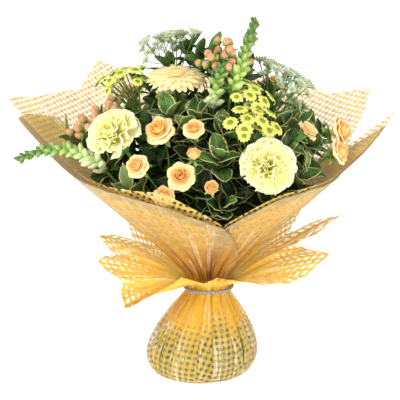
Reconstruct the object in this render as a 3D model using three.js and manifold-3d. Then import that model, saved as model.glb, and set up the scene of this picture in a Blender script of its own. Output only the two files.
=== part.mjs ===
// A hand-tied bouquet of mixed flowers that stands in a bag of water, wrapped in printed film and tissue.
//
// The frame: millimetres, +Z up, the origin at the middle of the bag's flat base, and -Y towards the
// viewer. The stems cross at the neck, where they are bound. A flower's place is given as a florist would
// give it, from the binding: its turn (degrees from the front, towards the right), its lean (degrees from
// upright) and its reach (how far the stem carries it). Wraps and bag are surfaces round the same neck.

import * as THREE from "three";
import Module from "manifold-3d";

const wasm = await Module();
wasm.setup();
const { Manifold } = wasm;

// ---- driving dimensions ----

const NECK_HEIGHT = 125; // the middle of the tie
const NECK_OFFSET = 12; // the neck leans this far to the right of the bag's base
const WALL = 0.8; // film and tissue, thicker than life
const GAP = 0.3; // between pieces that touch
const STEM_RADIUS = 2.2;
const STEM_SIDES = 5;
const STEM_FOOT = 10; // height of the cut ends
const WATER_LEVEL = 74;
const HOLE_RADIUS = 3.9; // of the square holes that the stems stand in
const SPIRAL = 0.016; // sideways run of a stem per mm of height and per mm from the neck's axis
const SPREAD = 0.012; // outward run, in the same way
const LEAF_THICKNESS = 0.7;
const SEED = 11;

const NECK = new THREE.Vector3(NECK_OFFSET, 0, NECK_HEIGHT);
const UP = new THREE.Vector3(0, 0, 1);

// ---- small helpers ----

const radians = THREE.MathUtils.degToRad;
const vec = (x, y, z) => new THREE.Vector3(x, y, z);

// A repeatable draw between low and high.
THREE.MathUtils.seededRandom(SEED);
const draw = (low, high) => THREE.MathUtils.lerp(low, high, THREE.MathUtils.seededRandom());

function direction(turn, lean) {
  const t = radians(turn);
  const l = radians(lean);
  return vec(Math.sin(l) * Math.sin(t), -Math.sin(l) * Math.cos(t), Math.cos(l));
}

const fromNeck = ([turn, lean, reach]) => direction(turn, lean).multiplyScalar(reach).add(NECK);

// The matrix that carries a shape drawn upright at the origin to a place, facing a direction.
function facing(place, front, spin = 0) {
  const turned = new THREE.Quaternion().setFromUnitVectors(UP, front.clone().normalize());
  turned.multiply(new THREE.Quaternion().setFromAxisAngle(UP, radians(spin)));
  return new THREE.Matrix4().compose(place, turned, vec(1, 1, 1));
}

// ---- closed surfaces ----

function closed(points, triangles) {
  const vertProperties = new Float32Array(points.flatMap((p) => [p.x, p.y, p.z]));
  return new Manifold(new wasm.Mesh({ numProp: 3, vertProperties, triVerts: new Uint32Array(triangles) }));
}

const moved = (solid, matrix) => solid.transform(matrix.elements);

// One closed skin through a stack of rings, from a bottom pole to a top pole. Without poles the end rings
// are filled flat. The rings may fold in and out, which raises layers of petals from one surface, and may
// differ in length.
function ringed(rings, bottom = null, top = null) {
  const points = rings.flat();
  const triangles = [];
  let below = 0;
  for (let i = 0; i + 1 < rings.length; i++) {
    const [n, m] = [rings[i].length, rings[i + 1].length];
    const above = below + n;
    for (let a = 0, b = 0; a < n || b < m; ) {
      if (b === m || (a < n && a * m <= b * n)) {
        triangles.push(below + (a % n), below + ((a + 1) % n), above + (b % m));
        a += 1;
      } else {
        triangles.push(below + (a % n), above + ((b + 1) % m), above + (b % m));
        b += 1;
      }
    }
    below = above;
  }
  const n = rings[0].length;
  const m = rings.at(-1).length;
  if (bottom) {
    points.push(bottom);
    for (let j = 0; j < n; j++) triangles.push(points.length - 1, (j + 1) % n, j);
  } else for (let j = 1; j + 1 < n; j++) triangles.push(0, j + 1, j);
  if (top) {
    points.push(top);
    for (let j = 0; j < m; j++) triangles.push(points.length - 1, below + j, below + ((j + 1) % m));
  } else for (let j = 1; j + 1 < m; j++) triangles.push(below, below + j, below + j + 1);
  return closed(points, triangles);
}

// A ring of n points in the plane across the Z axis, from a radius and a height that may depend on the
// angle.
function ring(n, radius, height) {
  return Array.from({ length: n }, (_, j) => {
    const angle = (2 * Math.PI * j) / n;
    const r = typeof radius === "function" ? radius(angle, j) : radius;
    const z = typeof height === "function" ? height(angle, j) : height;
    return vec(r * Math.cos(angle), r * Math.sin(angle), z);
  });
}

// The rings of a tube through a list of points. Its section turns as little as it can, back from the
// direction `across` at the far end.
function tubeRings(points, radius, sides, endRadius, across) {
  const last = points.length - 1;
  const rings = [];
  let x = across;
  for (let i = last; i >= 0; i--) {
    const along = points[Math.min(i + 1, last)].clone().sub(points[Math.max(i - 1, 0)]).normalize();
    x = x.clone().addScaledVector(along, -x.dot(along)).normalize();
    const y = along.clone().cross(x);
    const r = THREE.MathUtils.lerp(radius, endRadius, i / last);
    const corner = (j) => {
      const angle = (2 * Math.PI * j) / sides;
      const out = x.clone().multiplyScalar(Math.cos(angle)).addScaledVector(y, Math.sin(angle));
      return points[i].clone().addScaledVector(out, r);
    };
    rings.unshift(Array.from({ length: sides }, (_, j) => corner(j)));
  }
  return rings;
}

function tube(points, radius, sides = STEM_SIDES, endRadius = radius) {
  const along = points.at(-1).clone().sub(points.at(-2)).normalize();
  const across = Math.abs(along.x) < 0.8 ? vec(1, 0, 0) : vec(0, 1, 0);
  return ringed(tubeRings(points, radius, sides, endRadius, across));
}

// A head on its stalk as one skin: the stalk widens into the head's rings. A sunk stalk starts as a point.
function stalked(line, stalk, sides, { rings, top }, matrix, sunk = true) {
  const across = vec(1, 0, 0).transformDirection(matrix);
  const head = rings.map((points) => points.map((p) => p.clone().applyMatrix4(matrix)));
  const stem = tubeRings(line, stalk, sides, stalk, across).slice(sunk ? 1 : 0);
  return ringed([...stem, ...head], sunk ? line[0] : null, top.clone().applyMatrix4(matrix));
}

// A thin closed shell between an outer and an inner grid of points, rows upward and columns round.
function shell(outer, inner, joined) {
  const rows = outer.length;
  const columns = outer[0].length;
  const points = [...outer.flat(), ...inner.flat()];
  const half = rows * columns;
  const triangles = [];
  const quad = (a, b, c, d) => triangles.push(a, b, c, a, c, d);
  const bands = joined ? columns : columns - 1;
  for (let j = 0; j < bands; j++) {
    const k = (j + 1) % columns;
    for (let i = 0; i + 1 < rows; i++) {
      const [a, b, c, d] = [i * columns + j, i * columns + k, (i + 1) * columns + k, (i + 1) * columns + j];
      quad(a, b, c, d);
      quad(half + b, half + a, half + d, half + c);
    }
    const top = (rows - 1) * columns;
    quad(top + j, top + k, half + top + k, half + top + j);
    quad(k, j, half + j, half + k);
  }
  if (!joined) {
    for (let i = 0; i + 1 < rows; i++) {
      const [a, b] = [i * columns, (i + 1) * columns];
      const last = columns - 1;
      quad(a, b, half + b, half + a);
      quad(b + last, a + last, half + a + last, half + b + last);
    }
  }
  return closed(points, triangles);
}

// ---- what is already in place, so that small repeats can be kept clear of it ----

const placed = new Map();

function boxesMeet(a, b) {
  return a.min.every((low, axis) => low <= b.max[axis] && b.min[axis] <= a.max[axis]);
}

function isClear(solid, own) {
  const box = solid.boundingBox();
  for (const [name, other] of placed) {
    if (name === own || !boxesMeet(box, other.box)) continue;
    if (!solid.intersect(other.solid).isEmpty()) return false;
  }
  return true;
}

const put = (name, solid) => placed.set(name, { solid, box: solid.boundingBox() });

// One body from a node's pieces: those that touch the trunk. Loose scraps are dropped.
function fused(pieces) {
  const bodies = Manifold.union(pieces).decompose();
  return bodies.reduce((a, b) => (b.volume() > a.volume() ? b : a));
}

const group = new THREE.Group();

// Adds a solid to the model as a named mesh with its own material.
function addNode(name, solid, color, roughness = 0.6, opacity = 1) {
  const { vertProperties, triVerts } = solid.getMesh();
  const geometry = new THREE.BufferGeometry();
  geometry.setAttribute("position", new THREE.BufferAttribute(vertProperties, 3));
  geometry.setIndex(new THREE.BufferAttribute(triVerts, 1));
  const material = new THREE.MeshStandardMaterial({ color, roughness, metalness: 0, opacity });
  material.transparent = opacity < 1;
  material.flatShading = true;
  const mesh = new THREE.Mesh(geometry, material);
  mesh.name = name;
  group.add(mesh);
  put(name, solid);
}

const COLOURS = {
  film: 0xf2c545,
  tissue: 0xd9c39a,
  tie: 0x9a9488,
  twine: 0xb89a62,
  water: 0xbfd8d0,
  stem: 0x5f8a35,
  wood: 0x6a5230,
  carnation: 0xf1f2b0,
  miniCarnation: 0xf3b56f,
  gerbera: 0xf3cf93,
  gerberaEye: 0xe6b45e,
  rose: 0xf5bd7c,
  daisy: 0xe6ea7a,
  berry: 0xd98a5e,
  astrantia: 0xb9c9a4,
  snapdragon: 0x8fbb4a,
  variegated: 0x55773f,
  foliage: 0x33592c,
};

// ---- the bag of water: one sheet of film, gathered at the neck, its edges flaring as a collar ----

// The bag's outline below the tie: [radius, height].
const BAG_OUTLINE = [
  [52, 0],
  [70, 4],
  [79, 25],
  [74, 50],
  [56, 84],
  [36, 110],
  [31, 118],
];
const BAG_NECK = 31;
const COLLAR_FOOT = 131;
const PLEAT = 1.1; // height of the gathers at the neck

// The collar's edge, one row for each column of the bag: [turn, radius, height].
const COLLAR_EDGE = [
  [-180, 150, 190],
  [-164, 178, 206],
  [-150, 132, 178],
  [-136, 168, 190],
  [-121, 128, 172],
  [-107, 168, 188],
  [-96, 138, 166],
  [-84, 158, 166],
  [-68, 132, 146],
  [-52, 146, 122],
  [-34, 76, 136],
  [-8, 50, 142],
  [14, 54, 160],
  [38, 56, 142],
  [58, 134, 148],
  [78, 172, 180],
  [90, 124, 184],
  [101, 204, 222],
  [116, 130, 188],
  [131, 186, 212],
  [147, 130, 182],
  [163, 160, 196],
];

// The outline moved inward by a depth, square to itself.
function insetOutline(outline, depth) {
  return outline.map(([radius, height], i) => {
    const [r0, z0] = i ? outline[i - 1] : [0, height];
    const [r1, z1] = outline[Math.min(i + 1, outline.length - 1)];
    const before = vec(height - z0, 0, r0 - radius).normalize();
    const after = i + 1 < outline.length ? vec(z1 - height, 0, radius - r1).normalize() : before;
    const out = before.clone().add(after).normalize();
    const reach = depth / Math.max(out.dot(before), 0.5);
    return [radius - out.x * reach, height - out.z * reach];
  });
}

function gather(column, height) {
  return (column % 2 ? PLEAT : -PLEAT) * THREE.MathUtils.smoothstep(height, WATER_LEVEL, NECK_HEIGHT - 10);
}

// A point of the bag in one of its columns.
function bagPoint(column, [radius, height]) {
  const middle = NECK_OFFSET * Math.min(height / NECK_HEIGHT, 1);
  const out = direction(COLLAR_EDGE[column][0], 90).multiplyScalar(radius + gather(column, height));
  return out.add(vec(middle, 0, height));
}

// A point of the collar: it leaves the neck, bends out and runs to its edge.
function collarPoint(column, share, depth) {
  const [, edge, height] = COLLAR_EDGE[column];
  const arch = edge > 80 ? 22 : 4;
  const radius = THREE.MathUtils.lerp(BAG_NECK, edge, share) - depth * (1 - share);
  const rise = THREE.MathUtils.lerp(COLLAR_FOOT, height, share) + arch * share * (1 - share) + depth * share;
  return bagPoint(column, [radius, rise]);
}

const bagRings = (outline) => outline.map((p) => COLLAR_EDGE.map((_, j) => bagPoint(j, p)));

function waterBag() {
  const shares = [0, 0.45, 1];
  const inner = insetOutline(BAG_OUTLINE, WALL);
  const under = shares.map((s) => COLLAR_EDGE.map((_, j) => collarPoint(j, s, 0)));
  const over = shares.map((s) => COLLAR_EDGE.map((_, j) => collarPoint(j, s, WALL + 0.3))).reverse();
  return ringed([...bagRings(BAG_OUTLINE), ...under, ...over, ...bagRings(inner).reverse()]);
}

// ---- stems: each runs straight through the neck on a spiral, and bends above it to its flower ----

// Every stem that runs through the neck, with the place it is bound for: [turn, lean, reach].
const AIMS = {
  carnation_left: [-55, 33, 262],
  carnation_right: [29, 37, 236],
  carnation_back: [-150, 27, 236],
  mini_carnation: [62, 32, 262],
  gerbera: [-95, 8, 290],
  rose_spray_left: [-34, 35, 150],
  rose_spray_front: [-8, 32, 150],
  rose_spray_right: [80, 38, 180],
  rose_spray_back: [160, 25, 160],
  daisies_right: [54, 12, 255],
  daisies_lower: [34, 25, 235],
  daisies_left: [-96, 21, 275],
  daisies_back: [172, 16, 262],
  snapdragon_left: [-64, 40, 240],
  snapdragon_top: [36, 10, 290],
  snapdragon_middle: [8, 9, 268],
  berries_left: [-78, 33, 250],
  berries_top: [60, 4, 280],
  berries_back: [-128, 29, 250],
  astrantia_left: [-134, 12, 300],
  astrantia_right: [100, 20, 270],
  astrantia_back: [134, 32, 240],
  leaves_far_left: [-90, 41, 290],
  leaves_lower_left: [-45, 41, 226],
  leaves_upper: [-22, 17, 256],
  leaves_front: [8, 40, 196],
  leaves_upper_right: [74, 27, 280],
  leaves_lower_right: [54, 40, 244],
  leaves_back_left: [-111, 36, 270],
  leaves_back_right: [114, 36, 262],
  ruscus_left: [-62, 23, 250],
  ruscus_middle: [150, 12, 290],
  ruscus_back: [-160, 19, 275],
};

const BUNDLE_RADIUS = 15.4; // of the stems' middles at the neck
const STEM_PITCH = 4.95; // least distance between two stems' middles there
const WINDING = 42; // degrees that a stem winds round between the neck and its flower

// Gives each stem its place at the neck: the more upright, the nearer the middle, on the side that it
// winds to. Then crowded stems push each other apart until they lie side by side.
function neckPlaces() {
  const names = Object.keys(AIMS).sort((a, b) => AIMS[a][1] - AIMS[b][1]);
  const places = names.map((name, rank) => {
    const radius = BUNDLE_RADIUS * Math.sqrt((rank + 0.3) / names.length);
    return direction(AIMS[name][0] - WINDING, 90).multiplyScalar(radius);
  });
  for (let round = 0; round < 400; round++) {
    for (let i = 0; i < places.length; i++) {
      for (let j = 0; j < i; j++) {
        const apart = places[i].clone().sub(places[j]);
        const short = STEM_PITCH - apart.length();
        if (short <= 0) continue;
        apart.setLength(short / 2);
        places[i].add(apart);
        places[j].sub(apart);
      }
      places[i].clampLength(0, BUNDLE_RADIUS);
    }
  }
  return new Map(names.map((name, rank) => [name, places[rank]]));
}

const NECK_PLACES = neckPlaces();

// The way a stem goes through the neck, per mm of height.
function neckSlope(place, below) {
  const out = place.clone().multiplyScalar(below ? -SPREAD : SPREAD);
  return out.addScaledVector(vec(-place.y, place.x, 0), SPIRAL).add(UP);
}

function stemFoot(place, height = STEM_FOOT) {
  return NECK.clone()
    .add(place)
    .addScaledVector(neckSlope(place, true), height - NECK_HEIGHT);
}

// The stem's line from its cut end to a point, which it reaches along a given direction. Its pull says
// how long it keeps its way through the neck.
function stemLine(name, end, arrival, pull = 0.36) {
  const place = NECK_PLACES.get(name);
  const start = NECK.clone().add(place);
  const length = start.distanceTo(end);
  const curve = new THREE.CubicBezierCurve3(
    start,
    start.clone().addScaledVector(neckSlope(place, false).normalize(), pull * length),
    end.clone().addScaledVector(arrival, -0.36 * length),
    end,
  );
  return [stemFoot(place), ...curve.getPoints(3)];
}

function water() {
  const filled = insetOutline(BAG_OUTLINE, WALL + GAP).filter(([, height]) => height < WATER_LEVEL);
  const above = BAG_OUTLINE.find(([, height]) => height > WATER_LEVEL);
  const rim = filled.at(-1);
  const share = (WATER_LEVEL - rim[1]) / (above[1] - rim[1]);
  const level = [THREE.MathUtils.lerp(rim[0], above[0], share) - WALL, WATER_LEVEL];
  const body = ringed(bagRings([...filled, level]));
  const holes = [...NECK_PLACES.values()].map((place) => {
    const line = [stemFoot(place, STEM_FOOT - 0.5), NECK.clone().add(place)];
    return tube(line, HOLE_RADIUS, 4);
  });
  return body.subtract(Manifold.union(holes));
}

// ---- wraps: sheets round one flaring cone, each with its own edge and its own place in the stack ----

const WRAP_FOOT = 119; // the wraps' lower end, inside the neck
const WRAP_NECK = 22.2;
const FRONT_SLOPE = 1.03; // outward run per mm of height, at the front and the sides
const BACK_SLOPE = 0.7; // and at the back, which stands steeper

// The sheets' edges, one row for each column: [turn, height].
const FILM_EDGE = [
  [-180, 390],
  [-165, 396],
  [-150, 392],
  [-136, 418],
  [-124, 384],
  [-106, 384],
  [-90, 395],
  [-81, 340],
  [-72, 315],
  [-60, 306],
  [-46, 303],
  [-32, 304],
  [-18, 308],
  [-5, 276],
  [8, 249],
  [20, 274],
  [32, 299],
  [46, 304],
  [60, 300],
  [74, 304],
  [83, 340],
  [90, 376],
  [99, 322],
  [111, 391],
  [126, 376],
  [144, 384],
  [162, 392],
];
const LEFT_TISSUE_EDGE = [
  [-110, 352],
  [-98, 366],
  [-89, 368],
  [-81, 335],
  [-72, 311],
  [-60, 303],
  [-46, 300],
  [-32, 294],
  [-18, 284],
  [-5, 264],
  [8, 247],
  [20, 216],
  [32, 190],
  [44, 168],
];
const RIGHT_TISSUE_EDGE = [
  [-10, 190],
  [0, 222],
  [10, 248],
  [20, 268],
  [32, 294],
  [46, 300],
  [60, 296],
  [74, 300],
  [83, 332],
  [90, 358],
  [99, 318],
  [110, 310],
];

// The cone's radius at a turn and a height, for the sheet that lies at a given place in the stack.
function wrapRadius(turn, height, layer) {
  const behind = THREE.MathUtils.smoothstep(Math.abs(turn), 80, 165);
  const slope = THREE.MathUtils.lerp(FRONT_SLOPE, BACK_SLOPE, behind);
  const above = Math.max(height - NECK_HEIGHT, 0) * slope;
  return Math.hypot(WRAP_NECK, above) + layer * (1.5 + 0.022 * Math.max(height - WRAP_FOOT, 0));
}

function wrap(edge, layer, joined) {
  const low = [WRAP_FOOT, 134, 156];
  const grid = (wall) => {
    const point = (turn, height) => {
      const r = wrapRadius(turn, height, layer) + wall;
      return direction(turn, 90).multiplyScalar(r).add(vec(NECK_OFFSET, 0, height));
    };
    const lowRows = low.map((height) => edge.map(([turn]) => point(turn, height)));
    const highRows = [0.5, 1].map((share) =>
      edge.map(([turn, top]) => point(turn, THREE.MathUtils.lerp(low.at(-1), top, share))),
    );
    return [...lowRows, ...highRows];
  };
  return shell(grid(WALL + 0.3), grid(0), joined);
}

// ---- cords ----

// The cord round the film's neck: two turns side by side, a knot at the back and two short ends.
function neckTie() {
  const [inner, outer] = [33.2, 36.2];
  const profile = [
    [inner, -2.8],
    [outer, -1.8],
    [outer, 1.8],
    [inner, 2.8],
  ];
  const sides = 18;
  const rings = profile.map(([r, z]) => ring(sides, r, z));
  const points = rings.flat();
  const triangles = [];
  for (let i = 0; i < profile.length; i++) {
    const next = (i + 1) % profile.length;
    for (let j = 0; j < sides; j++) {
      const k = (j + 1) % sides;
      const [a, b, c, d] = [i * sides + j, i * sides + k, next * sides + k, next * sides + j];
      triangles.push(a, b, c, a, c, d);
    }
  }
  const band = closed(points, triangles);
  const knot = ringed([ring(5, 3.4, -1.6), ring(5, 3.4, 1.6)], vec(0, 0, -3.2), vec(0, 0, 3.2));
  const knotPlace = vec(0, outer + 1.4, 0);
  const ends = [-1, 1].map((side) =>
    tube([knotPlace, vec(side * 7, outer + 6, -6), vec(side * 10, outer + 9, -17)], 1.3, 3),
  );
  const whole = Manifold.union([band, knot.translate([0, outer + 1.4, 0]), ...ends]);
  return whole.translate([NECK_OFFSET, 0, NECK_HEIGHT - 0.4]);
}

// The twine that binds the stems, inside the film.
function stemBinding() {
  const sides = 16;
  const profile = [
    [19, -2.6],
    [21.3, -2.6],
    [21.3, 2.6],
    [19, 2.6],
  ];
  const grid = (pick) => pick.map((k) => ring(sides, profile[k][0], profile[k][1]));
  return shell(grid([1, 2]), grid([0, 3]), true).translate([NECK_OFFSET, 0, NECK_HEIGHT]);
}

// ---- flower heads, each drawn upright round the Z axis ----

// A double flower as one folded skin: each [radius, height, sway] row is a rim or a valley of a layer of
// petals, and the rims wave between the petals.
function foldedBloom(radius, columns, layers, petals, wave) {
  const rings = layers.map(([r, z, sway], i) => {
    const turn = i * 0.9;
    return ring(
      columns,
      (angle) => radius * (r + sway * wave * Math.cos(petals * angle + turn)),
      (angle, j) => radius * (z + sway * wave * (j % 2 ? 0.5 : -0.5)),
    );
  });
  const [low, high] = [layers[0][1] - 0.03, layers.at(-1)[1] + 0.04];
  return ringed(rings, vec(0, 0, radius * low), vec(0, 0, radius * high));
}

// [radius, height, how much it waves], as shares of the bloom's radius.
const ROSE_LAYERS = [
  [0.34, -0.58, 0],
  [0.99, 0.08, 1],
  [0.72, -0.02, 0.5],
  [0.7, 0.34, 1],
  [0.46, 0.14, 0.4],
  [0.4, 0.5, 0.8],
  [0.17, 0.34, 0],
];
const CARNATION_LAYERS = [
  [0.24, -0.5, 0],
  [0.6, -0.26, 0.4],
  [0.97, -0.02, 1],
  [0.74, -0.02, 0.5],
  [0.78, 0.2, 1],
  [0.52, 0.16, 0.5],
  [0.53, 0.36, 1],
  [0.26, 0.3, 0.4],
  [0.24, 0.46, 0.8],
];

// The edge of a ray of petals: a notch at `eye` of the radius between petals, and a blunt or a pointed
// tip on each.
function rayEdge(radius, petals, eye, lift, blunt, height = 0) {
  const stops = blunt ? [0, 0.27, 0.73] : [0, 0.5];
  const step = (2 * Math.PI) / petals;
  return Array.from({ length: petals * stops.length }, (_, i) => {
    const stop = i % stops.length;
    const angle = (Math.floor(i / stops.length) + stops[stop]) * step;
    const r = stop ? radius : radius * eye;
    return vec(r * Math.cos(angle), r * Math.sin(angle), height + (stop ? radius * lift : radius * 0.03));
  });
}

// Small heads, each as its rings from the stalk upward and its top, with `hold` as the length of its base.
function daisyHead(radius) {
  const rings = [rayEdge(radius, 6, 0.42, 0.06, true)];
  return { rings, top: vec(0, 0, radius * 0.2), hold: radius * 0.3 };
}
function astrantiaHead(radius) {
  const rings = [rayEdge(radius, 8, 0.52, 0.3, false)];
  return { rings, top: vec(0, 0, radius * 0.42), hold: radius * 0.34 };
}
function berryHead(radius, length) {
  const sepalTips = ring(5, radius * 1.2, -length * 0.42);
  const belly = [ring(5, radius, -length * 0.2), ring(5, radius * 0.94, length * 0.2)];
  return { rings: [sepalTips, ...belly], top: vec(0, 0, length * 0.52), hold: length * 0.5 };
}
function sepalStar(radius) {
  const rings = [rayEdge(radius, 5, 0.45, -0.2, false)];
  return { rings, top: vec(0, 0, radius * 0.1), hold: radius * 0.45 };
}

// Two layers of long petals round a flat middle.
function gerberaPetals(radius) {
  const lower = rayEdge(radius, 15, 0.5, -0.1, true, -radius * 0.02);
  const valley = ring(15, radius * 0.42, 0);
  const upper = rayEdge(radius * 0.9, 15, 0.5, 0.1, true, radius * 0.03);
  return ringed([lower, valley, upper], vec(0, 0, -radius * 0.26), vec(0, 0, radius * 0.03));
}

const gerberaEye = (radius) => {
  const rings = [ring(10, radius, 0), ring(10, radius * 0.9, radius * 0.34)];
  return ringed(rings, null, vec(0, 0, radius * 0.14));
};

// A closed bud or floret, round below and drawn out to a tip.
function bud(radius, length) {
  const belly = [ring(5, radius * 0.82, -length * 0.24), ring(5, radius, length * 0.06)];
  return ringed(belly, vec(0, 0, -length / 2), vec(0, 0, length / 2));
}

// ---- leaves ----

// A blade drawn along +X with its face up: its halves rise from the midrib, its edge waves and its tip
// bends down.
function blade(length, width, { fold = 0.16, droop = 0.12, wave = 0.05, tip = 0.76 } = {}) {
  const outline = [
    [0.02, 0, 0],
    [0.42, 0.5, fold + wave],
    [tip, 0.42, fold - wave],
    [1, 0, 0],
    [tip, -0.42, fold + wave],
    [0.42, -0.5, fold - wave],
    [0.52, 0, 0],
  ];
  const skin = (lift) =>
    outline.map(([x, y, z]) => vec(x * length, y * width, z * width - droop * x * x * length + lift));
  const points = [...skin(LEAF_THICKNESS / 2), ...skin(-LEAF_THICKNESS / 2)];
  const triangles = [];
  const rib = outline.length - 1;
  const under = outline.length;
  for (let i = 0; i < rib; i++) {
    const j = (i + 1) % rib;
    triangles.push(rib, j, i, rib + under, i + under, j + under);
    triangles.push(i, j, j + under, i, j + under, i + under);
  }
  return closed(points, triangles);
}

// The matrix that carries a blade to a stem: it leaves at `root`, runs along `along` and shows its face
// to `face`.
function leafPlace(root, along, face) {
  const x = along.clone().normalize();
  const y = face.clone().cross(x).normalize();
  const z = x.clone().cross(y);
  return new THREE.Matrix4().makeBasis(x, y, z).setPosition(root);
}

// A leaf bent clear of its neighbours: it is tried as drawn, then lifted, lowered or turned aside.
const BENDS = [0, -12, 12, -24, 24, -38, 38];
const ASIDES = [0, 16, -16, 34, -34];
function clearLeaf(own, shape, root, along, axis) {
  for (const aside of ASIDES) {
    for (const bend of BENDS) {
      const way = along.clone().applyAxisAngle(axis, radians(aside));
      way.applyAxisAngle(axis.clone().cross(way).normalize(), radians(bend));
      const leaf = moved(shape, leafPlace(root, way, axis));
      if (isClear(leaf, own)) return leaf;
    }
  }
  return null;
}

// Leaves round the last stretch of a stem, each a golden angle on from the one below and more upright
// near the top.
const GOLDEN = 137.5;
function whorl(own, line, { count, from, length, width, low = 74, high = 24, start = 0, shape = {} }) {
  const axis = line.at(-1).clone().sub(line.at(-2)).normalize();
  const side = Math.abs(axis.z) < 0.9 ? UP.clone().cross(axis).normalize() : vec(1, 0, 0);
  const leaves = [];
  for (let i = 0; i < count; i++) {
    const share = count > 1 ? i / (count - 1) : 1;
    const root = line.at(-1).clone().addScaledVector(axis, -2 - from * (1 - share));
    const spread = radians(THREE.MathUtils.lerp(low, high, share));
    const round = side.clone().applyAxisAngle(axis, radians(start + i * GOLDEN));
    const along = axis.clone().multiplyScalar(Math.cos(spread)).addScaledVector(round, Math.sin(spread));
    const size = draw(0.88, 1.08) * THREE.MathUtils.lerp(1, 0.8, share);
    for (const scale of [size, size * 0.75]) {
      const leaf = clearLeaf(own, blade(length * scale, width * scale, shape), root, along, axis);
      if (!leaf) continue;
      leaves.push(leaf);
      break;
    }
  }
  return leaves;
}

// ---- the bouquet, from what must stay where it is to what gives way ----

addNode("water_bag", waterBag(), COLOURS.film, 0.2, 0.7);
addNode("neck_tie", neckTie(), COLOURS.tie, 0.8);
addNode("stem_binding", stemBinding(), COLOURS.twine, 0.9);
addNode("film_wrap", wrap(FILM_EDGE, 0, true), COLOURS.film, 0.2, 0.7);
addNode("tissue_right", wrap(RIGHT_TISSUE_EDGE, 1, false), COLOURS.tissue, 0.7, 0.8);
addNode("tissue_left", wrap(LEFT_TISSUE_EDGE, 2, false), COLOURS.tissue, 0.7, 0.8);
addNode("water", water(), COLOURS.water, 0.05, 0.4);

// Single blooms and roses: the place from the neck, the radius, and the way they face as [turn, lean] if
// not outward.
const CARNATIONS = {
  carnation_left: { place: [-55, 33, 290], radius: 38, face: [-40, 42] },
  carnation_right: { place: [29, 37.5, 264], radius: 38, face: [14, 58] },
  carnation_back: { place: [-152, 27, 270], radius: 35 },
};
const MINI_CARNATION = { place: [62, 32, 284], radius: 16, face: [70, 44] };
const GERBERA = { place: [-95, 8.5, 305], radius: 43, face: [4, 22] };
const ROSE_SPRAYS = {
  rose_spray_left: {
    rose_large: { place: [-35, 25, 272], radius: 23, face: [-25, 48] },
    rose_left: { place: [-36, 38, 262], radius: 18, face: [-30, 60] },
    rose_low: { place: [-25, 40.5, 218], radius: 16, face: [-10, 50] },
  },
  rose_spray_front: {
    rose_upper: { place: [-11, 23, 272], radius: 16, face: [-6, 50] },
    rose_opening: { place: [-9, 30.5, 256], radius: 13, face: [-4, 26] },
    rose_centre: { place: [-14, 38, 250], radius: 21, face: [-8, 66] },
    rose_small: { place: [1, 40, 238], radius: 13, face: [2, 62] },
  },
  rose_spray_right: {
    rose_side: { place: [88, 39, 290], radius: 24, face: [72, 74] },
    rose_side_low: { place: [74, 42, 277], radius: 19, face: [66, 66] },
  },
  rose_spray_back: {
    rose_back_top: { place: [120, 21, 300], radius: 21 },
    rose_back: { place: [152, 29.5, 266], radius: 22 },
    rose_back_left: { place: [178, 29.5, 262], radius: 20 },
  },
};

const faceOf = ({ place, face }) => direction(...(face ?? place));

const greens = new Map(); // the pieces of each green node
const lines = new Map(); // the line of each main stem
const settle = (name) => put(name, Manifold.union(greens.get(name)));

// Grows a main stem that passes its neighbours: it is tried with one pull after another.
const PULLS = [0.36, 0.26, 0.46, 0.16, 0.56, 0.66, 0.08];
function grow(name, end, arrival, build) {
  const tries = PULLS.map((pull) => stemLine(name, end, arrival, pull));
  const line = tries.find((route) => isClear(build(route), name)) ?? tries[0];
  lines.set(name, line);
  greens.set(name, [build(line)]);
  settle(name);
  return line;
}

// A carnation's stem widens into the green cup under the bloom.
function growCarnation(name, flower, size) {
  const front = faceOf(flower);
  const base = flower.radius * (CARNATION_LAYERS[0][1] - 0.03) - GAP;
  const seat = fromNeck(flower.place).addScaledVector(front, base);
  const foot = seat.clone().addScaledVector(front, -size * 3);
  const cup = { rings: [ring(6, size * 0.75, -size * 2.2), ring(6, size, -size * 0.3)], top: vec(0, 0, 0) };
  const place = facing(seat, front);
  grow(name, foot, front, (line) => stalked(line, STEM_RADIUS, STEM_SIDES, cup, place, false));
}
for (const [name, flower] of Object.entries(CARNATIONS)) growCarnation(name, flower, 8);
growCarnation("mini_carnation", MINI_CARNATION, 5);

const gerberaFront = faceOf(GERBERA);
const gerberaSeat = fromNeck(GERBERA.place).addScaledVector(gerberaFront, -GERBERA.radius * 0.26 - GAP);
const gerberaStem = (line) => tube(line, STEM_RADIUS + 0.3, STEM_SIDES, STEM_RADIUS + 0.8);
grow("gerbera", gerberaSeat, gerberaFront, gerberaStem);

// A rose spray forks near the neck into a stalk for each bloom, with a star of sepals under it.
for (const [name, roses] of Object.entries(ROSE_SPRAYS)) {
  const aim = direction(AIMS[name][0], AIMS[name][1]);
  const fork = grow(name, fromNeck(AIMS[name]), aim, (line) => tube(line, STEM_RADIUS)).at(-1);
  for (const rose of Object.values(roses)) {
    const front = faceOf(rose);
    const size = rose.radius * 0.8;
    const seat = fromNeck(rose.place).addScaledVector(front, -rose.radius * 0.63 - GAP - size * 0.1);
    const foot = seat.clone().addScaledVector(front, -size * 0.45);
    const half = fork.clone().lerp(foot, 0.55).addScaledVector(front, -6);
    const route = [fork.clone().addScaledVector(aim, -2), half, foot];
    greens.get(name).push(stalked(route, 1.7, 4, sepalStar(size), facing(seat, front)));
  }
  settle(name);
}

// A plain main stem ends among its own leaves or branches, along its aim.
for (const [name, aim] of Object.entries(AIMS)) {
  if (greens.has(name)) continue;
  grow(name, fromNeck(aim), direction(aim[0], aim[1]), (line) => tube(line, STEM_RADIUS, STEM_SIDES, 1.8));
}

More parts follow.
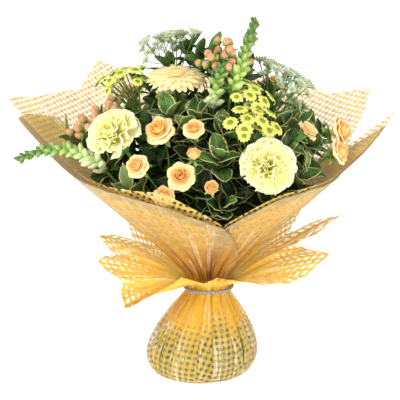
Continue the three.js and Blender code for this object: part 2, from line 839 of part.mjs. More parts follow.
function bloom(name, flower, shape, color) {
  addNode(name, moved(shape, facing(fromNeck(flower.place), faceOf(flower))), color);
}
for (const [name, flower] of Object.entries(CARNATIONS)) {
  const shape = foldedBloom(flower.radius, 13, CARNATION_LAYERS, 6, 0.07);
  bloom(`${name}_bloom`, flower, shape, COLOURS.carnation);
}
const miniBloom = foldedBloom(MINI_CARNATION.radius, 10, CARNATION_LAYERS.slice(0, 7), 5, 0.1);
bloom("mini_carnation_bloom", MINI_CARNATION, miniBloom, COLOURS.miniCarnation);
bloom("gerbera_bloom", GERBERA, gerberaPetals(GERBERA.radius), COLOURS.gerbera);
const eyePlace = fromNeck(GERBERA.place).addScaledVector(gerberaFront, GERBERA.radius * 0.05 + GAP);
addNode("gerbera_eye", moved(gerberaEye(11), facing(eyePlace, gerberaFront)), COLOURS.gerberaEye);
for (const roses of Object.values(ROSE_SPRAYS)) {
  for (const [name, rose] of Object.entries(roses)) {
    bloom(name, rose, foldedBloom(rose.radius, 9, ROSE_LAYERS, 3, 0.06), COLOURS.rose);
  }
}

// ---- snapdragons: buds round a spike, large and loose below, small and tight at the tip ----

// Each spike runs from its stem's end over a middle point to its tip, each as [turn, lean, reach].
const SPIKES = {
  snapdragon_left: { over: [-68, 40, 308], tip: [-85, 54, 322], count: 11 },
  snapdragon_top: { over: [55, 10, 335], tip: [125, 12, 378], count: 12 },
  snapdragon_middle: { over: [12, 9, 296], tip: [22, 8, 326], count: 5 },
};
for (const [name, { over, tip, count }] of Object.entries(SPIKES)) {
  const pieces = greens.get(name);
  const start = lines.get(name).at(-1);
  const spine = new THREE.QuadraticBezierCurve3(start, fromNeck(over), fromNeck(tip));
  const back = start.clone().addScaledVector(spine.getTangent(0), -3);
  pieces.push(tube([back, ...spine.getPoints(3)], 1.9, 4, 0.9));
  for (let i = 0; i < count; i++) {
    const share = (i + 0.5) / count;
    const size = THREE.MathUtils.lerp(11, 6, share);
    const axis = spine.getTangent(share);
    const side = axis.clone().cross(UP).normalize();
    const round = side.applyAxisAngle(axis, radians(i * GOLDEN));
    const away = axis.clone().multiplyScalar(0.5 + 0.5 * share).add(round).normalize();
    const seat = spine.getPoint(share ** 0.9).addScaledVector(away, size * 0.95);
    const flower = moved(bud(size * 0.56, size * 2), facing(seat, away));
    if (isClear(flower, name)) pieces.push(flower);
  }
  settle(name);
}

// ---- variegated sprigs and broad green leaves ----

const VARIEGATED = {
  leaves_far_left: { count: 7, from: 60, length: 42, width: 24 },
  leaves_lower_left: { count: 7, from: 54, length: 42, width: 25 },
  leaves_upper: { count: 8, from: 54, length: 40, width: 27, start: 40, low: 84 },
  leaves_front: { count: 6, from: 40, length: 44, width: 26 },
  leaves_upper_right: { count: 7, from: 54, length: 38, width: 25 },
  leaves_lower_right: { count: 7, from: 56, length: 40, width: 26 },
  leaves_back_left: { count: 7, from: 54, length: 42, width: 26 },
  leaves_back_right: { count: 7, from: 54, length: 42, width: 26 },
};
for (const [name, shape] of Object.entries(VARIEGATED)) {
  greens.get(name).push(...whorl(name, lines.get(name), shape));
  settle(name);
}

// ---- sprays: small heads on their own stalks, spread over a patch of the dome ----

// Heads lie a golden angle apart over a round patch, nudged clear of what is there. Their stalks leave
// the stem one below the other.
const NUDGES = [0, 0.35, -0.35, 0.7, -0.7];
function spray(name, { centre, patch, count, dome, tilt = 1.2, from = 0 }, stalk, head) {
  const pieces = greens.get(name);
  const line = lines.get(name);
  const axis = line.at(-1).clone().sub(line.at(-2)).normalize();
  const middle = fromNeck(centre);
  const front = direction(centre[0], centre[1] * tilt);
  const place = facing(middle, front, from);
  for (let i = 0; i < count; i++) {
    const shape = head(i);
    const out = Math.sqrt((i + 0.4) / count);
    for (const nudge of NUDGES) {
      const angle = radians(i * GOLDEN) + nudge;
      const local = vec(patch * out * Math.cos(angle), patch * out * Math.sin(angle), -dome * out * out);
      const seat = local.applyMatrix4(place);
      const way = front.clone().addScaledVector(seat.clone().sub(middle), 0.6 / patch).normalize();
      const foot = seat.clone().addScaledVector(way, -shape.hold);
      const root = line.at(-1).clone().addScaledVector(axis, -1.5 - 3 * ((i * 5) % count));
      const whole = stalked([root, foot], stalk, 3, shape, facing(seat, way));
      if (!isClear(whole, name)) continue;
      pieces.push(whole);
      break;
    }
  }
  settle(name);
}

const DAISIES = {
  daisies_right: { centre: [54, 13, 300], patch: 42, count: 12, dome: 10, tilt: 2 },
  daisies_lower: { centre: [32, 25, 285], patch: 38, count: 10, dome: 6, tilt: 1.5, from: 40 },
  daisies_left: { centre: [-96, 22, 330], patch: 36, count: 10, dome: 8, tilt: 0.8 },
  daisies_back: { centre: [172, 16, 318], patch: 36, count: 8, dome: 6 },
};
const BERRIES = {
  berries_left: { centre: [-78, 33, 302], patch: 40, count: 11, dome: 6, tilt: 1, from: 20 },
  berries_top: { centre: [60, 4, 342], patch: 27, count: 11, dome: 30, tilt: 1 },
  berries_back: { centre: [-128, 30, 304], patch: 26, count: 6, dome: 6, tilt: 1 },
};
const ASTRANTIAS = {
  astrantia_left: { centre: [-134, 12.5, 356], patch: 44, count: 8, dome: 6 },
  astrantia_right: { centre: [100, 20, 322], patch: 46, count: 11, dome: 6, tilt: 1.4 },
  astrantia_back: { centre: [133, 32, 292], patch: 32, count: 6, dome: 6, tilt: 1 },
};
for (const [name, shape] of Object.entries(BERRIES)) spray(name, shape, 0.9, () => berryHead(5.2, 12.5));
for (const [name, shape] of Object.entries(DAISIES)) {
  spray(name, shape, 0.9, (i) => daisyHead(i % 4 === 3 ? 9 : 11.5));
}
for (const [name, shape] of Object.entries(ASTRANTIAS)) spray(name, shape, 0.8, () => astrantiaHead(10.5));

// Broad leaves fill the gaps behind the flowers.
const RUSCUS = {
  ruscus_left: { count: 7, from: 90, length: 50, width: 23, low: 60 },
  ruscus_middle: { count: 7, from: 90, length: 50, width: 24, low: 60 },
  ruscus_back: { count: 7, from: 110, length: 54, width: 25, low: 66 },
};
for (const [name, shape] of Object.entries(RUSCUS)) {
  greens.get(name).push(...whorl(name, lines.get(name), { ...shape, shape: { tip: 0.72, wave: 0.02 } }));
  settle(name);
}
// Rose leaves stand on the stems below the blooms.
for (const name of Object.keys(ROSE_SPRAYS)) {
  const shape = { count: 3, from: 40, length: 44, width: 25, low: 66, high: 50, start: AIMS[name][0] };
  greens.get(name).push(...whorl(name, lines.get(name), shape));
  settle(name);
}

const GREEN_COLOURS = {
  daisies: COLOURS.daisy,
  berries: COLOURS.berry,
  astrantia: COLOURS.astrantia,
  snapdragon: COLOURS.snapdragon,
  leaves: COLOURS.variegated,
  ruscus: COLOURS.foliage,
};
for (const [name, pieces] of greens) {
  const color = GREEN_COLOURS[name.split("_")[0]];
  addNode(color ? name : `${name}_stem`, fused(pieces), color ?? COLOURS.stem);
}

export default group;
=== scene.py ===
"""A hand-tied bouquet of mixed flowers that stands in a bag of water, wrapped in printed film and tissue.

Each piece is a surface worked out on a grid, in millimetres, and put into its mesh in metres. A flower's
place is given from the binding at the neck: its turn (degrees from the front, towards the right), its
lean (degrees from upright) and its reach. Each fine piece stands where its solid in the frame stands.
"""

import zlib
from collections import namedtuple
from itertools import product
from math import comb

import bpy
import numpy as np
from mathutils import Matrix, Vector


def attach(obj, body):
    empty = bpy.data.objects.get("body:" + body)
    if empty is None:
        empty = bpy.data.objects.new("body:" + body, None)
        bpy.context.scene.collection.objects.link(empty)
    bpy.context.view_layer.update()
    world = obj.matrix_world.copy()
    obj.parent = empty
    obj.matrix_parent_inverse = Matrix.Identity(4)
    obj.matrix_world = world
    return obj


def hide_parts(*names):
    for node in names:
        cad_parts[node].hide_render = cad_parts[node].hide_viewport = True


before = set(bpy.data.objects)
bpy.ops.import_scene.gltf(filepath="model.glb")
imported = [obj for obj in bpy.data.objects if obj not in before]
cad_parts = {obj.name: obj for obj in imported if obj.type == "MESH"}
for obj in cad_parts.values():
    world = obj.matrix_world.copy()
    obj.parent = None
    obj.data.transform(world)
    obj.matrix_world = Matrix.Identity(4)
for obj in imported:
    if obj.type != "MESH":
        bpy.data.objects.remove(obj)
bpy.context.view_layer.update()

bl_info = {
    "name": "Mixed Flower Bouquet",
    "version": (1, 0, 0),
    "blender": (4, 5, 0),
    "location": "3D View > Sidebar > Bouquet",
    "description": "Builds a hand-tied bouquet of mixed flowers in its wraps and bag of water",
    "category": "Add Mesh",
}

MM = 0.001
SEED = 11
GOLDEN = 137.5
FULL_TURN = 6.2832
NECK = np.array([12.0, 0.0, 125.0])
UP = np.array([0.0, 0.0, 1.0])


# ---- places and directions ----


def unit(v):
    """Each vector divided by its length."""
    return v / np.maximum(np.linalg.norm(v, axis=-1, keepdims=True), 1e-9)


def smooth(x, low, high):
    """An S-curve, 3t^2 - 2t^3, of how far x has gone from low to high."""
    t = np.clip((x - low) / (high - low), 0, 1)
    return t * t * (3 - 2 * t)


def direction(turn, lean):
    """The unit vector that leans from upright by lean, towards turn."""
    t, l = np.broadcast_arrays(np.radians(turn), np.radians(lean))
    return np.stack([np.sin(l) * np.sin(t), -np.sin(l) * np.cos(t), np.cos(l)], -1)


def from_neck(place):
    """The neck plus reach times the direction."""
    return NECK + place[2] * direction(place[0], place[1])


def facing(front, spin=0.0):
    """Rotations that carry +Z to each front by the shortest way, after a spin about +Z in degrees."""
    f = unit(np.asarray(front, float))
    x, y, z = f[..., 0], f[..., 1], f[..., 2]
    c = 1 / (1 + z)
    tilt = [1 - x * x * c, -x * y * c, x, -x * y * c, 1 - y * y * c, y, -x, -y, z]
    s = np.broadcast_to(np.radians(spin), x.shape)
    zero = np.zeros_like(s)
    turn = [np.cos(s), -np.sin(s), zero, np.sin(s), np.cos(s), zero, zero, zero, zero + 1]
    tilt, turn = (np.stack(m, -1).reshape(x.shape + (3, 3)) for m in (tilt, turn))
    return tilt @ turn


def put(shape, rotation, origin):
    """Shapes (n, rows, columns, 3) turned and moved to their places; one shape serves them all."""
    shape = np.broadcast_to(shape, (len(rotation),) + shape.shape[-3:])
    return np.einsum("nij,nrcj->nrci", rotation, shape) + origin[:, None, None, :]


def lay(shapes, rotation, origin):
    """Shapes drawn round Z carried to one or more places: (places, n, rows, columns, 3) flattened."""
    rotation, origin = np.atleast_3d(rotation).reshape(-1, 3, 3), np.asarray(origin).reshape(-1, 3)
    found = np.einsum("pij,nrcj->pnrci", rotation, shapes) + origin[:, None, None, None, :]
    return found.reshape((-1,) + shapes.shape[1:])


def round_axis(sheet, angle):
    """One shape, or one for each angle in degrees, turned round Z."""
    return put(sheet, facing(np.tile(UP, (len(angle), 1)), angle), np.zeros((len(angle), 3)))


def about(axis, v, angle):
    """v turned about a unit axis by an angle in radians."""
    c, s = np.cos(angle), np.sin(angle)
    return v * c + np.cross(axis, v) * s + axis * (v @ axis) * (1 - c)


def bernstein(points, t):
    """The sum of the points, or stacks of points, each by its Bernstein share at t."""
    n = len(points) - 1
    return sum(comb(n, i) * t**i * (1 - t) ** (n - i) * p for i, p in enumerate(points))


def bezier(points, count):
    """The curves drawn by points, or by stacks of points, at even steps."""
    t = np.linspace(0, 1, count).reshape((-1,) + (1,) * np.ndim(points[0]))
    return np.moveaxis(bernstein(points, t), 0, -2)


def through(points, count):
    """A smooth cubic (Catmull-Rom) through the points, at even steps of their number."""
    p = np.asarray(points, float)
    p = np.concatenate([2 * p[:1] - p[1:2], p, 2 * p[-1:] - p[-2:-1]])
    s = np.linspace(0, len(p) - 3 - 1e-9, count)
    i = s.astype(int)
    t = (s - i)[:, None]
    a, b, c, d = p[i], p[i + 1], p[i + 2], p[i + 3]
    return 0.5 * (
        2 * b + (c - a) * t + (2 * a - 5 * b + 4 * c - d) * t**2 + (3 * b - a - 3 * c + d) * t**3
    )


def patch(rows, columns):
    """Two parameters over a patch: v along its rows and u across its columns, each from 0 to 1."""
    return np.meshgrid(np.linspace(0, 1, rows), np.linspace(0, 1, columns), indexing="ij")


def tube(line, radius, sides):
    """Circles of the radius round each point of a line, square to it."""
    line = np.asarray(line, float)
    way = unit(np.gradient(line, axis=-2))
    across = np.eye(3)[np.abs(way).max(-2).argmin(-1)][..., None, :]
    x = unit(across - way * (way * across).sum(-1, keepdims=True))
    y = np.cross(way, x)
    a = (np.arange(sides) * 2 * np.pi / sides)[:, None]
    r = np.broadcast_to(radius, line.shape[:-1])[..., None, None]
    return line[..., None, :] + r * (np.cos(a) * x[..., None, :] + np.sin(a) * y[..., None, :])


def opened(angle, out, up):
    """Vectors at an angle round Z: so far out and so far up."""
    return np.stack([np.cos(angle) * out, np.sin(angle) * out, up + 0 * angle], -1)


def normals(sheet):
    """The unit normals of sheets of points (..., rows, columns, 3)."""
    return unit(np.cross(np.gradient(sheet, axis=-2), np.gradient(sheet, axis=-3)))


def back_and_forth(grid, axis=1):
    """A grid followed by itself the other way round, for a sheet's two faces."""
    return np.concatenate([grid, np.flip(grid, axis)], axis)


def turned(radius, height, sides):
    """A body of revolution round Z: its outline's radii and heights, carried round."""
    a = np.arange(sides) * 2 * np.pi / sides
    r, z = np.asarray(radius, float)[:, None], np.asarray(height, float)[:, None]
    return np.stack([r * np.cos(a), r * np.sin(a), z + 0 * a], -1)


def draws(name):
    """A seeded source of draws for a piece."""
    return np.random.default_rng(SEED + zlib.crc32(name.encode()))


# ---- a mesh gathered from grids ----


def corner_map(lay_flat, sector, *grids):
    """A map whose sectors may part: for each face its four corners, laid flat with the face's sector."""
    low, high = slice(0, -1), slice(1, None)
    corners = [(low, low), (low, high), (high, high), (high, low)]
    return np.stack([lay_flat(sector, *(g[c] for g in grids)) for c in corners], -2)


class Skin:
    """Grids of points gathered into one mesh, each with its finish, its own map and its tones."""

    def __init__(self):
        self.count, self.names = 0, []
        self.points, self.corners, self.sizes, self.maps, self.tones, self.finishes = ([] for _ in range(6))

    def add(self, points, finish, uv=None, tone=(0, 0, 0), looped=False, corner_uv=None):
        """Grids (n, rows, columns, 3): quads between the rows and round the columns; the last row meets
        the first one where the grid is looped, and else the ends are filled."""
        rows, columns = points.shape[-3:-1]
        shapes = points.reshape(-1, rows, columns, 3)
        n = len(shapes)
        if finish not in self.names:
            self.names.append(finish)
        index = np.arange(rows * columns).reshape(rows, columns)
        index = np.concatenate([index, index[:, :1]], 1)
        index = np.concatenate([index, index[:1]], 0) if looped else index
        quads = np.stack([index[:-1, :-1], index[:-1, 1:], index[1:, 1:], index[1:, :-1]], -1)
        kinds = [quads.reshape(-1, 4)]
        if not looped:
            kinds.append(np.stack([index[0, :columns][::-1], index[rows - 1, :columns]]))
        flat = np.tile(np.zeros((rows * columns, 2)) if uv is None else uv.reshape(-1, 2), (n, 1))
        first = np.arange(n)[:, None, None] * rows * columns
        for kind in kinds:
            faces = (first + kind).reshape(-1, kind.shape[1])
            own = corner_uv is not None and kind is kinds[0]
            self.maps.append((corner_uv if own else flat[faces]).reshape(-1, 2))
            self.corners.append(faces.ravel() + self.count)
            self.sizes.append(np.full(len(faces), faces.shape[1]))
            self.finishes.append(np.full(len(faces), self.names.index(finish)))
        tones = [np.reshape(t, (-1, 1) if np.size(t) == n > 1 else (1, -1)) for t in tone]
        tones = [np.broadcast_to(t, (n, rows * columns)) for t in tones]
        self.tones.append(np.stack(tones, -1).reshape(-1, 3))
        self.points.append(shapes.reshape(-1, 3))
        self.count += n * rows * columns

    def add_sheet(self, sheet, thick, finish, tone=0.0, share=0.0):
        """Sheets given two faces: each point moves half the thickness along the sheet's normal, and the
        row comes back along the other face, so that it closes on itself."""
        lift = normals(sheet) * thick / 2
        v, u = patch(*sheet.shape[-3:-1])
        uv = np.stack([back_and_forth(u), np.concatenate([v, v], 1)], -1)
        back = np.concatenate([0 * u, 0 * u + 1], 1)
        skin = np.concatenate([sheet + lift, (sheet - lift)[..., ::-1, :]], -2)
        self.add(skin, finish, uv, (tone, share, back))

    def add_round(self, radius, height, sides, turn, seat, finish="sepal", tone=(0, 0, 0)):
        """A body of revolution on each seat."""
        self.add(lay(turned(radius, height, sides)[None], turn, seat), finish, tone=tone)

    def build(self, node, slot):
        """The gathered mesh as one piece that stands for its solid and rides on the frame's root."""
        mesh = bpy.data.meshes.new(f"{node}.fine")
        points, corners, sizes, maps, tones, finishes = map(np.concatenate, (
            self.points, self.corners, self.sizes, self.maps, self.tones, self.finishes))
        mesh.vertices.add(len(points))
        mesh.loops.add(len(corners))
        mesh.polygons.add(len(sizes))
        mesh.vertices.foreach_set("co", (points * MM).astype(np.float32).ravel())
        mesh.loops.foreach_set("vertex_index", corners.astype(np.int32))
        starts = np.concatenate([[0], np.cumsum(sizes)[:-1]])
        mesh.polygons.foreach_set("loop_start", starts.astype(np.int32))
        mesh.polygons.foreach_set("material_index", finishes.astype(np.int32))
        mesh.update(calc_edges=True)
        flat = mesh.uv_layers.new(name="flat")
        flat.data.foreach_set("uv", maps.astype(np.float32).ravel())
        tone = mesh.attributes.new("tone", "FLOAT_VECTOR", "POINT")
        tone.data.foreach_set("vector", tones.astype(np.float32).ravel())
        mesh.shade_smooth()
        for name in self.names:
            mesh.materials.append(finish_of(name))
        piece = bpy.data.objects.new(f"{node}.fine", mesh)
        bpy.context.scene.collection.objects.link(piece)
        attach(piece, "root")
        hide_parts(node)


# ---- sizes and colours ----


def paint(code):
    """A colour written in the usual six hexadecimal digits, as linear light."""
    part = np.array([int(code[i : i + 2], 16) for i in (0, 2, 4)]) / 255
    return tuple(np.where(part <= 0.04045, part / 12.92, ((part + 0.055) / 1.055) ** 2.4))


def size(name, description, default, low=0.0):
    """A length that a user may change, in metres."""
    return bpy.props.FloatProperty(
        name=name, description=description, default=default, min=low, unit="LENGTH", subtype="DISTANCE"
    )


def colour(name, description, code):
    """A colour that a user may change."""
    return bpy.props.FloatVectorProperty(
        name=name, description=description, default=paint(code), size=3, min=0, max=1, subtype="COLOR"
    )


class BOUQUET_PG_sizes(bpy.types.PropertyGroup):
    film: size("Film Thickness", "Thickness of the printed film", 0.0003)
    tissue: size("Tissue Thickness", "Thickness of the fibrous tissue", 0.0004)
    pitch: size("Print Pitch", "Distance between two squares of the print", 0.0084, 0.002)
    petal: size("Petal Thickness", "Thickness of the petals", 0.0005)
    leaf: size("Leaf Thickness", "Thickness of the leaves", 0.0006)
    stem: size("Stem Radius", "Radius of the main stems", 0.0022)
    cord: size("Cord Radius", "Radius of the cord round the film's neck", 0.00145)
    filler: bpy.props.IntProperty(
        name="Low Leaves", description="Leaves low on each main stem", default=13, min=0, max=40
    )


class BOUQUET_PG_colours(bpy.types.PropertyGroup):
    print_yellow: colour("Print", "Solid squares of the film's print", "F7BD2C")
    print_pale: colour("Pale Print", "Stripes between the squares", "FCE183")
    tissue: colour("Tissue", "Fibrous tissue", "A68F5F")
    cord: colour("Cord", "Cord round the neck", "A39C92")
    rose_outer: colour("Rose Outside", "Outer petals of the roses", "FAD28C")
    rose_heart: colour("Rose Heart", "Inner petals of the roses", "FCBC40")
    carnation: colour("Carnation", "Petals of the carnations", "F7F1A0")
    carnation_edge: colour("Carnation Edge", "Frilled edges of the petals", "F8F8CE")
    gerbera: colour("Gerbera", "Rays of the gerbera", "FCE5A6")
    daisy: colour("Daisy", "Rays of the daisies", "E4E25C")
    disc: colour("Daisy Disc", "Middles of the daisies", "74841A")
    berry: colour("Berry", "Ripe side of the berries", "CC8260")
    bract: colour("Bract", "Bracts of the masterwort", "D3DCBC")
    bud: colour("Bud", "Buds of the snapdragons", "98B84C")
    leaf: colour("Variegated Leaf", "Green of the variegated leaves", "3E6424")
    margin: colour("Leaf Margin", "Margins of the variegated leaves", "D6D28A")
    dark: colour("Broad Leaf", "Green of the plain leaves", "2F5A1E")
    stem: colour("Stem", "Green stems", "6F9440")
    floor: colour("Floor", "The floor", "FBFAF7")


def sizes():
    """The scene's sizes, in millimetres for lengths."""
    group = bpy.context.scene.bouquet_sizes
    found = {k: getattr(group, k) for k in group.__annotations__}
    return {k: v if k == "filler" else v / MM for k, v in found.items()}


def ink(code):
    """A colour with its alpha: one of the scene's by its name, or six hexadecimal digits."""
    group = bpy.context.scene.bouquet_colours
    if isinstance(code, str):
        return (*(getattr(group, code) if code in group.__annotations__ else paint(code)), 1.0)
    return code


# ---- finishes ----


def sum_of(kind, turned_round=False):
    """A method that makes one kind of sum of a value with other values or numbers."""
    def made(value, *rest):
        return value.finish.maths(kind, *((*rest, value) if turned_round else (value, *rest)))
    return made


class Value:
    """A socket with the sums that finishes are written in."""

    def __init__(self, finish, socket):
        self.finish, self.socket = finish, socket

    __add__ = __radd__ = sum_of("ADD")
    __mul__ = __rmul__ = sum_of("MULTIPLY")
    __sub__, __rsub__ = sum_of("SUBTRACT"), sum_of("SUBTRACT", True)
    __truediv__, __pow__, under = sum_of("DIVIDE"), sum_of("POWER"), sum_of("LESS_THAN")
    fract, floor, abs = sum_of("FRACT"), sum_of("FLOOR"), sum_of("ABSOLUTE")
    least, most, sine = sum_of("MINIMUM"), sum_of("MAXIMUM"), sum_of("SINE")

    def step(self, low, high):
        """An S-curve from 0 at low to 1 at high."""
        kinds = {"interpolation_type": "SMOOTHSTEP"}
        return self.finish.node("MapRange", kinds, {0: self, 1: low, 2: high})


# How far the clear film mirrors the room, and how rough that mirror is.
MIRROR, MIRROR_ROUGHNESS = 0.06, 0.13


class Finish:
    """A material under way, made of nodes."""

    def __init__(self, name):
        self.material = bpy.data.materials.new(name)
        self.material.use_nodes = True
        self.tree = self.material.node_tree
        self.tree.nodes.clear()

    def node(self, kind, settings=None, values=None, out=0):
        """A node: its type, its settings, its sockets' values or links, and the output wanted."""
        node = self.tree.nodes.new(f"ShaderNode{kind}")
        for key, value in (settings or {}).items():
            setattr(node, key, value)
        for key, value in (values or {}).items():
            if isinstance(value, Value):
                self.tree.links.new(value.socket, node.inputs[key])
            else:
                node.inputs[key].default_value = value
        return Value(self, node.outputs[out]) if len(node.outputs) else node

    def maths(self, kind, *values):
        return self.node("Math", {"operation": kind}, dict(enumerate(values)))

    def vector(self, kind, *values):
        return self.node("VectorMath", {"operation": kind}, dict(enumerate(values)))

    def mix(self, share, a, b, blend="MIX"):
        """From colour a to colour b by a share."""
        kinds = {"data_type": "RGBA", "blend_type": blend}
        return self.node("Mix", kinds, {0: share, 6: ink(a), 7: ink(b)}, 2)

    def coats(self, base, *coats):
        """Colours laid over a base one after another, each by its own share."""
        for share, code in coats:
            base = self.mix(share, base, code)
        return base

    def split(self, value):
        node = self.tree.nodes.new("ShaderNodeSeparateXYZ")
        self.tree.links.new(value.socket, node.inputs[0])
        return [Value(self, s) for s in node.outputs]

    def join(self, *values):
        return self.node("CombineXYZ", None, dict(enumerate(values)))

    def place(self):
        return self.node("TexCoord", None, None, "Object")

    def map(self):
        """The piece's own map, across and along."""
        return self.split(self.node("UVMap", {"uv_map": "flat"}))[:2]

    def tones(self):
        return self.split(self.node("Attribute", {"attribute_name": "tone"}, None, "Vector"))

    def noise(self, where, scale, detail=3.0, rough=0.55):
        values = {"Vector": where, "Scale": scale, "Detail": detail, "Roughness": rough}
        return self.node("TexNoise", None, values)

    def streaks(self, stretch, detail):
        """Noise stretched along the axes by three factors."""
        return self.noise(self.vector("MULTIPLY", self.place(), stretch), 1.0, detail)

    def surface(self, base, rough, bump=None, glow=0, clear=None, **more):
        """The shader and the material's output: colour, roughness, a bump's height, strength and distance,
        the light that the colour gives off, and more sockets named by words joined by _. Where clear is
        given, the print covers that share, and between it a clear sheet mirrors a little of the room."""
        values = {"Base Color": base, "Roughness": rough}
        if bump:
            values["Normal"] = self.node("Bump", None, dict(zip(("Height", "Strength", "Distance"), bump)))
        if glow:
            values.update({"Emission Color": base, "Emission Strength": glow})
        values.update({k.replace("_", " ").title().replace("Ior", "IOR"): v for k, v in more.items()})
        shader = self.node("BsdfPrincipled", None, values)
        if clear is not None:
            mirror = {"Roughness": MIRROR_ROUGHNESS, "Normal": values["Normal"]}
            mirror, clear_film = self.node("BsdfGlossy", None, mirror), self.node("BsdfTransparent")
            sheet = self.node("MixShader", None, {0: MIRROR, 1: clear_film, 2: mirror})
            shader = self.node("MixShader", None, {0: clear, 1: sheet, 2: shader})
        self.node("OutputMaterial", None, {0: shader})
        return self.material


def print_pattern(f, half=0.25):
    """Where stripes of the print cross, squares and rings in turn: the shares of pale stripe, solid
    square, ring and its white middle, and of fine dots."""
    px, py = (k / bpy.context.scene.bouquet_sizes.pitch for k in f.map())
    dx, dy = px.fract() - 0.5, py.fract() - 0.5
    bx, by = dx.abs().under(half), dy.abs().under(half)
    cross = bx * by
    odd = ((px.floor() + py.floor()) * 0.5).fract() * 2.0
    far = (dx * dx + dy * dy) ** 0.5
    ring = (far - (half - 0.07)).abs().under(0.075) * cross * odd
    hole = far.under(half - 0.145) * cross * odd
    dots = (px * 50.0).sine() * (py * 50.0).sine()
    return bx + by - cross, cross * (1.0 - odd), ring, hole, dots.step(-0.2, 0.4)


def folds(f):
    """Creases that run out from the neck: noise stretched along each ray from the neck's axis."""
    x, y, z = f.split(f.place())
    angle = f.maths("ARCTAN2", x - float(NECK[0]) * MM, y * -1.0)
    return f.noise(f.join(angle * 16.0, z * 7.0, (x * x + y * y) ** 0.5 * 7.0), 1.0, 4.0, 0.6)


def printed_film(f):
    """Squares and rings in turn where stripes cross; the stripes are pale and the rest is clear. Where
    the film lies in many layers their prints cover each other, and it is deeper yellow. Painted shade
    darkens the sunk pleats and runs along the creases, and painted highlights run along the creases
    too. A painted glow, brighter yellow that the film gives off, lies on the collar and on the wraps'
    inner face, for light that comes through."""
    pale, solid, ring, hole, dots = print_pattern(f)
    # Tones: how many layers lie there; sunk, the depth of a pleat's valley, painted as shade; glow, painted
    # light.
    layers, sunk, glow = f.tones()
    creases, small = folds(f), f.noise(f.place(), 70.0, 4.0)
    facets = (f.noise(f.place(), 36.0, 2.0) - 0.5).abs()
    alpha = 0.012 + pale * (0.32 + dots * 0.16) + solid * 0.74 + ring * 0.7 + hole * 0.1
    one = 1.0 - (1.0 - alpha.least(0.9)) ** layers
    many = (layers + creases * 2.0 - 1.0).step(1.6, 5.2)
    low = 1.0 - f.split(f.place())[2].step(0.02, 0.09)
    # Painted highlights: pale broken streaks along the creases, where the film also hides more of what is
    # behind.
    glint = (creases.step(0.57, 0.61) - creases.step(0.63, 0.68)) * (small.step(0.44, 0.6) * 0.8 + 0.2)
    base = f.coats(
        (1, 0.97, 0.88, 1), (pale.most(solid), "print_pale"), ((solid + ring).least(1.0), "print_yellow"),
        (hole, (1, 0.98, 0.92, 1)), (layers.step(1.05, 2.0) * 0.75, "D3AE2A"), (many * 0.8, "F8B62A"),
        # Painted light: the glow's brighter yellow. Painted shade: deeper orange along the creases where the
        # layers are many, and in the sunk pleats.
        (glow * (many * 0.6 + 0.3), "FFD45C"), (creases.step(0.55, 0.68) * many * 0.5, "EAA025"),
        (sunk * 0.35, "C98A1E"), (low * 0.3, "A4963A"), (glint * 0.75, (1, 0.98, 0.93, 1)),
    )
    # Painted light: where glow is given, the film gives off its own colour.
    return f.surface(
        base, 0.09, (creases * 2.0 + small * 0.3 + facets * 1.6, 0.8, 0.008),
        clear=(one + (1.0 - one) * many * 0.9 + glint * 0.35).least(1.0), specular_ior_level=0.35,
        emission_color=f.mix(glow, (0, 0, 0, 1), base), emission_strength=0.24,
    )


def fibre_tissue(f):
    """Long fibres tint the sheet; the film's print shows through it except at its plain margin, and it
    is deeper in colour where it is gathered at the neck. Painted shade darkens it towards the neck, in
    the folds that it sinks into and along its creases; a painted shadow of the leaves behind lies high
    on the cone, and painted highlights run along the creases. A painted glow, the colour that the sheet
    gives off, stands for light that comes through and is stronger on its inner face."""
    pale, solid, ring, hole, _ = print_pattern(f, 0.3)
    share, plain, sunk = f.tones()
    inner = plain.step(1.4, 1.6)
    covered = 1.0 - (plain - inner * 2.0) * 0.94
    creases = folds(f)
    drift = f.join(creases * 0.02, creases * 0.02, 0.0)
    fibres = f.noise(f.vector("ADD", f.place(), drift), 90.0, 5.0, 0.7)
    gathered = 1.0 - (share + creases * 0.3 - 0.15).step(0.12, 0.7)
    # Painted shadow: soft darker patches high on the cone, for the leaves behind the tissue.
    seen = f.noise(f.place(), 22.0, 2.0).step(0.48, 0.66) * share.step(0.15, 0.5)
    # Painted highlights: pale lines along the creases.
    glint = creases.step(0.56, 0.62) - creases.step(0.62, 0.68)
    base = f.coats(
        "tissue", (fibres.step(0.35, 0.7), "BEA672"), ((pale - hole * 0.5) * covered * 0.4, "E6BE62"),
        ((solid + ring) * covered * 0.9, "E6A41E"), (seen * 0.22, "8C8450"), (gathered * 0.75, "D68E18"),
        # Painted shade: darker towards the neck, in the sunk folds and along the creases.
        ((1.0 - share.step(0.25, 1.1)) * 0.26, "8A621A"), (sunk * (0.3 + gathered * 0.6), "8A4A0C"),
        (creases.step(0.5, 0.66) * (0.2 + gathered * 0.5), "B8741C"),
        (glint * (0.2 + gathered * 0.3), (1, 0.94, 0.78, 1)),
    )
    # Painted light: the sheet gives off a little of its colour, and more on its inner face.
    return f.surface(
        base, 0.5, (creases * 1.8 + fibres * 0.15, 0.7, 0.008), specular_ior_level=0.2,
        alpha=0.72 + fibres.step(0.3, 0.75) * 0.15 + gathered * 0.12,
        emission_color=f.mix(inner * 0.85 + 0.15, (0, 0, 0, 1), base), emission_strength=0.34,
    )


def grey_cord(f):
    """Strands that wind round the cord, as slanting stripes of its own map."""
    u, v = f.map()
    strands = ((u * 2.0 + v * 90.0) * FULL_TURN).sine()
    return f.surface(f.mix(strands.step(-0.8, 0.8), "77716A", "cord"), 0.75, (strands, 0.5, 0.0006))


def twine(f):
    """Rough slanting fibres."""
    u, v = f.map()
    strands = ((u * 2.0 + v * 60.0) * FULL_TURN).sine() + f.noise(f.place(), 700.0)
    return f.surface(f.mix(strands.step(-0.6, 1.4), "8D7142", "C9AB74"), 0.9, (strands, 0.6, 0.0008))


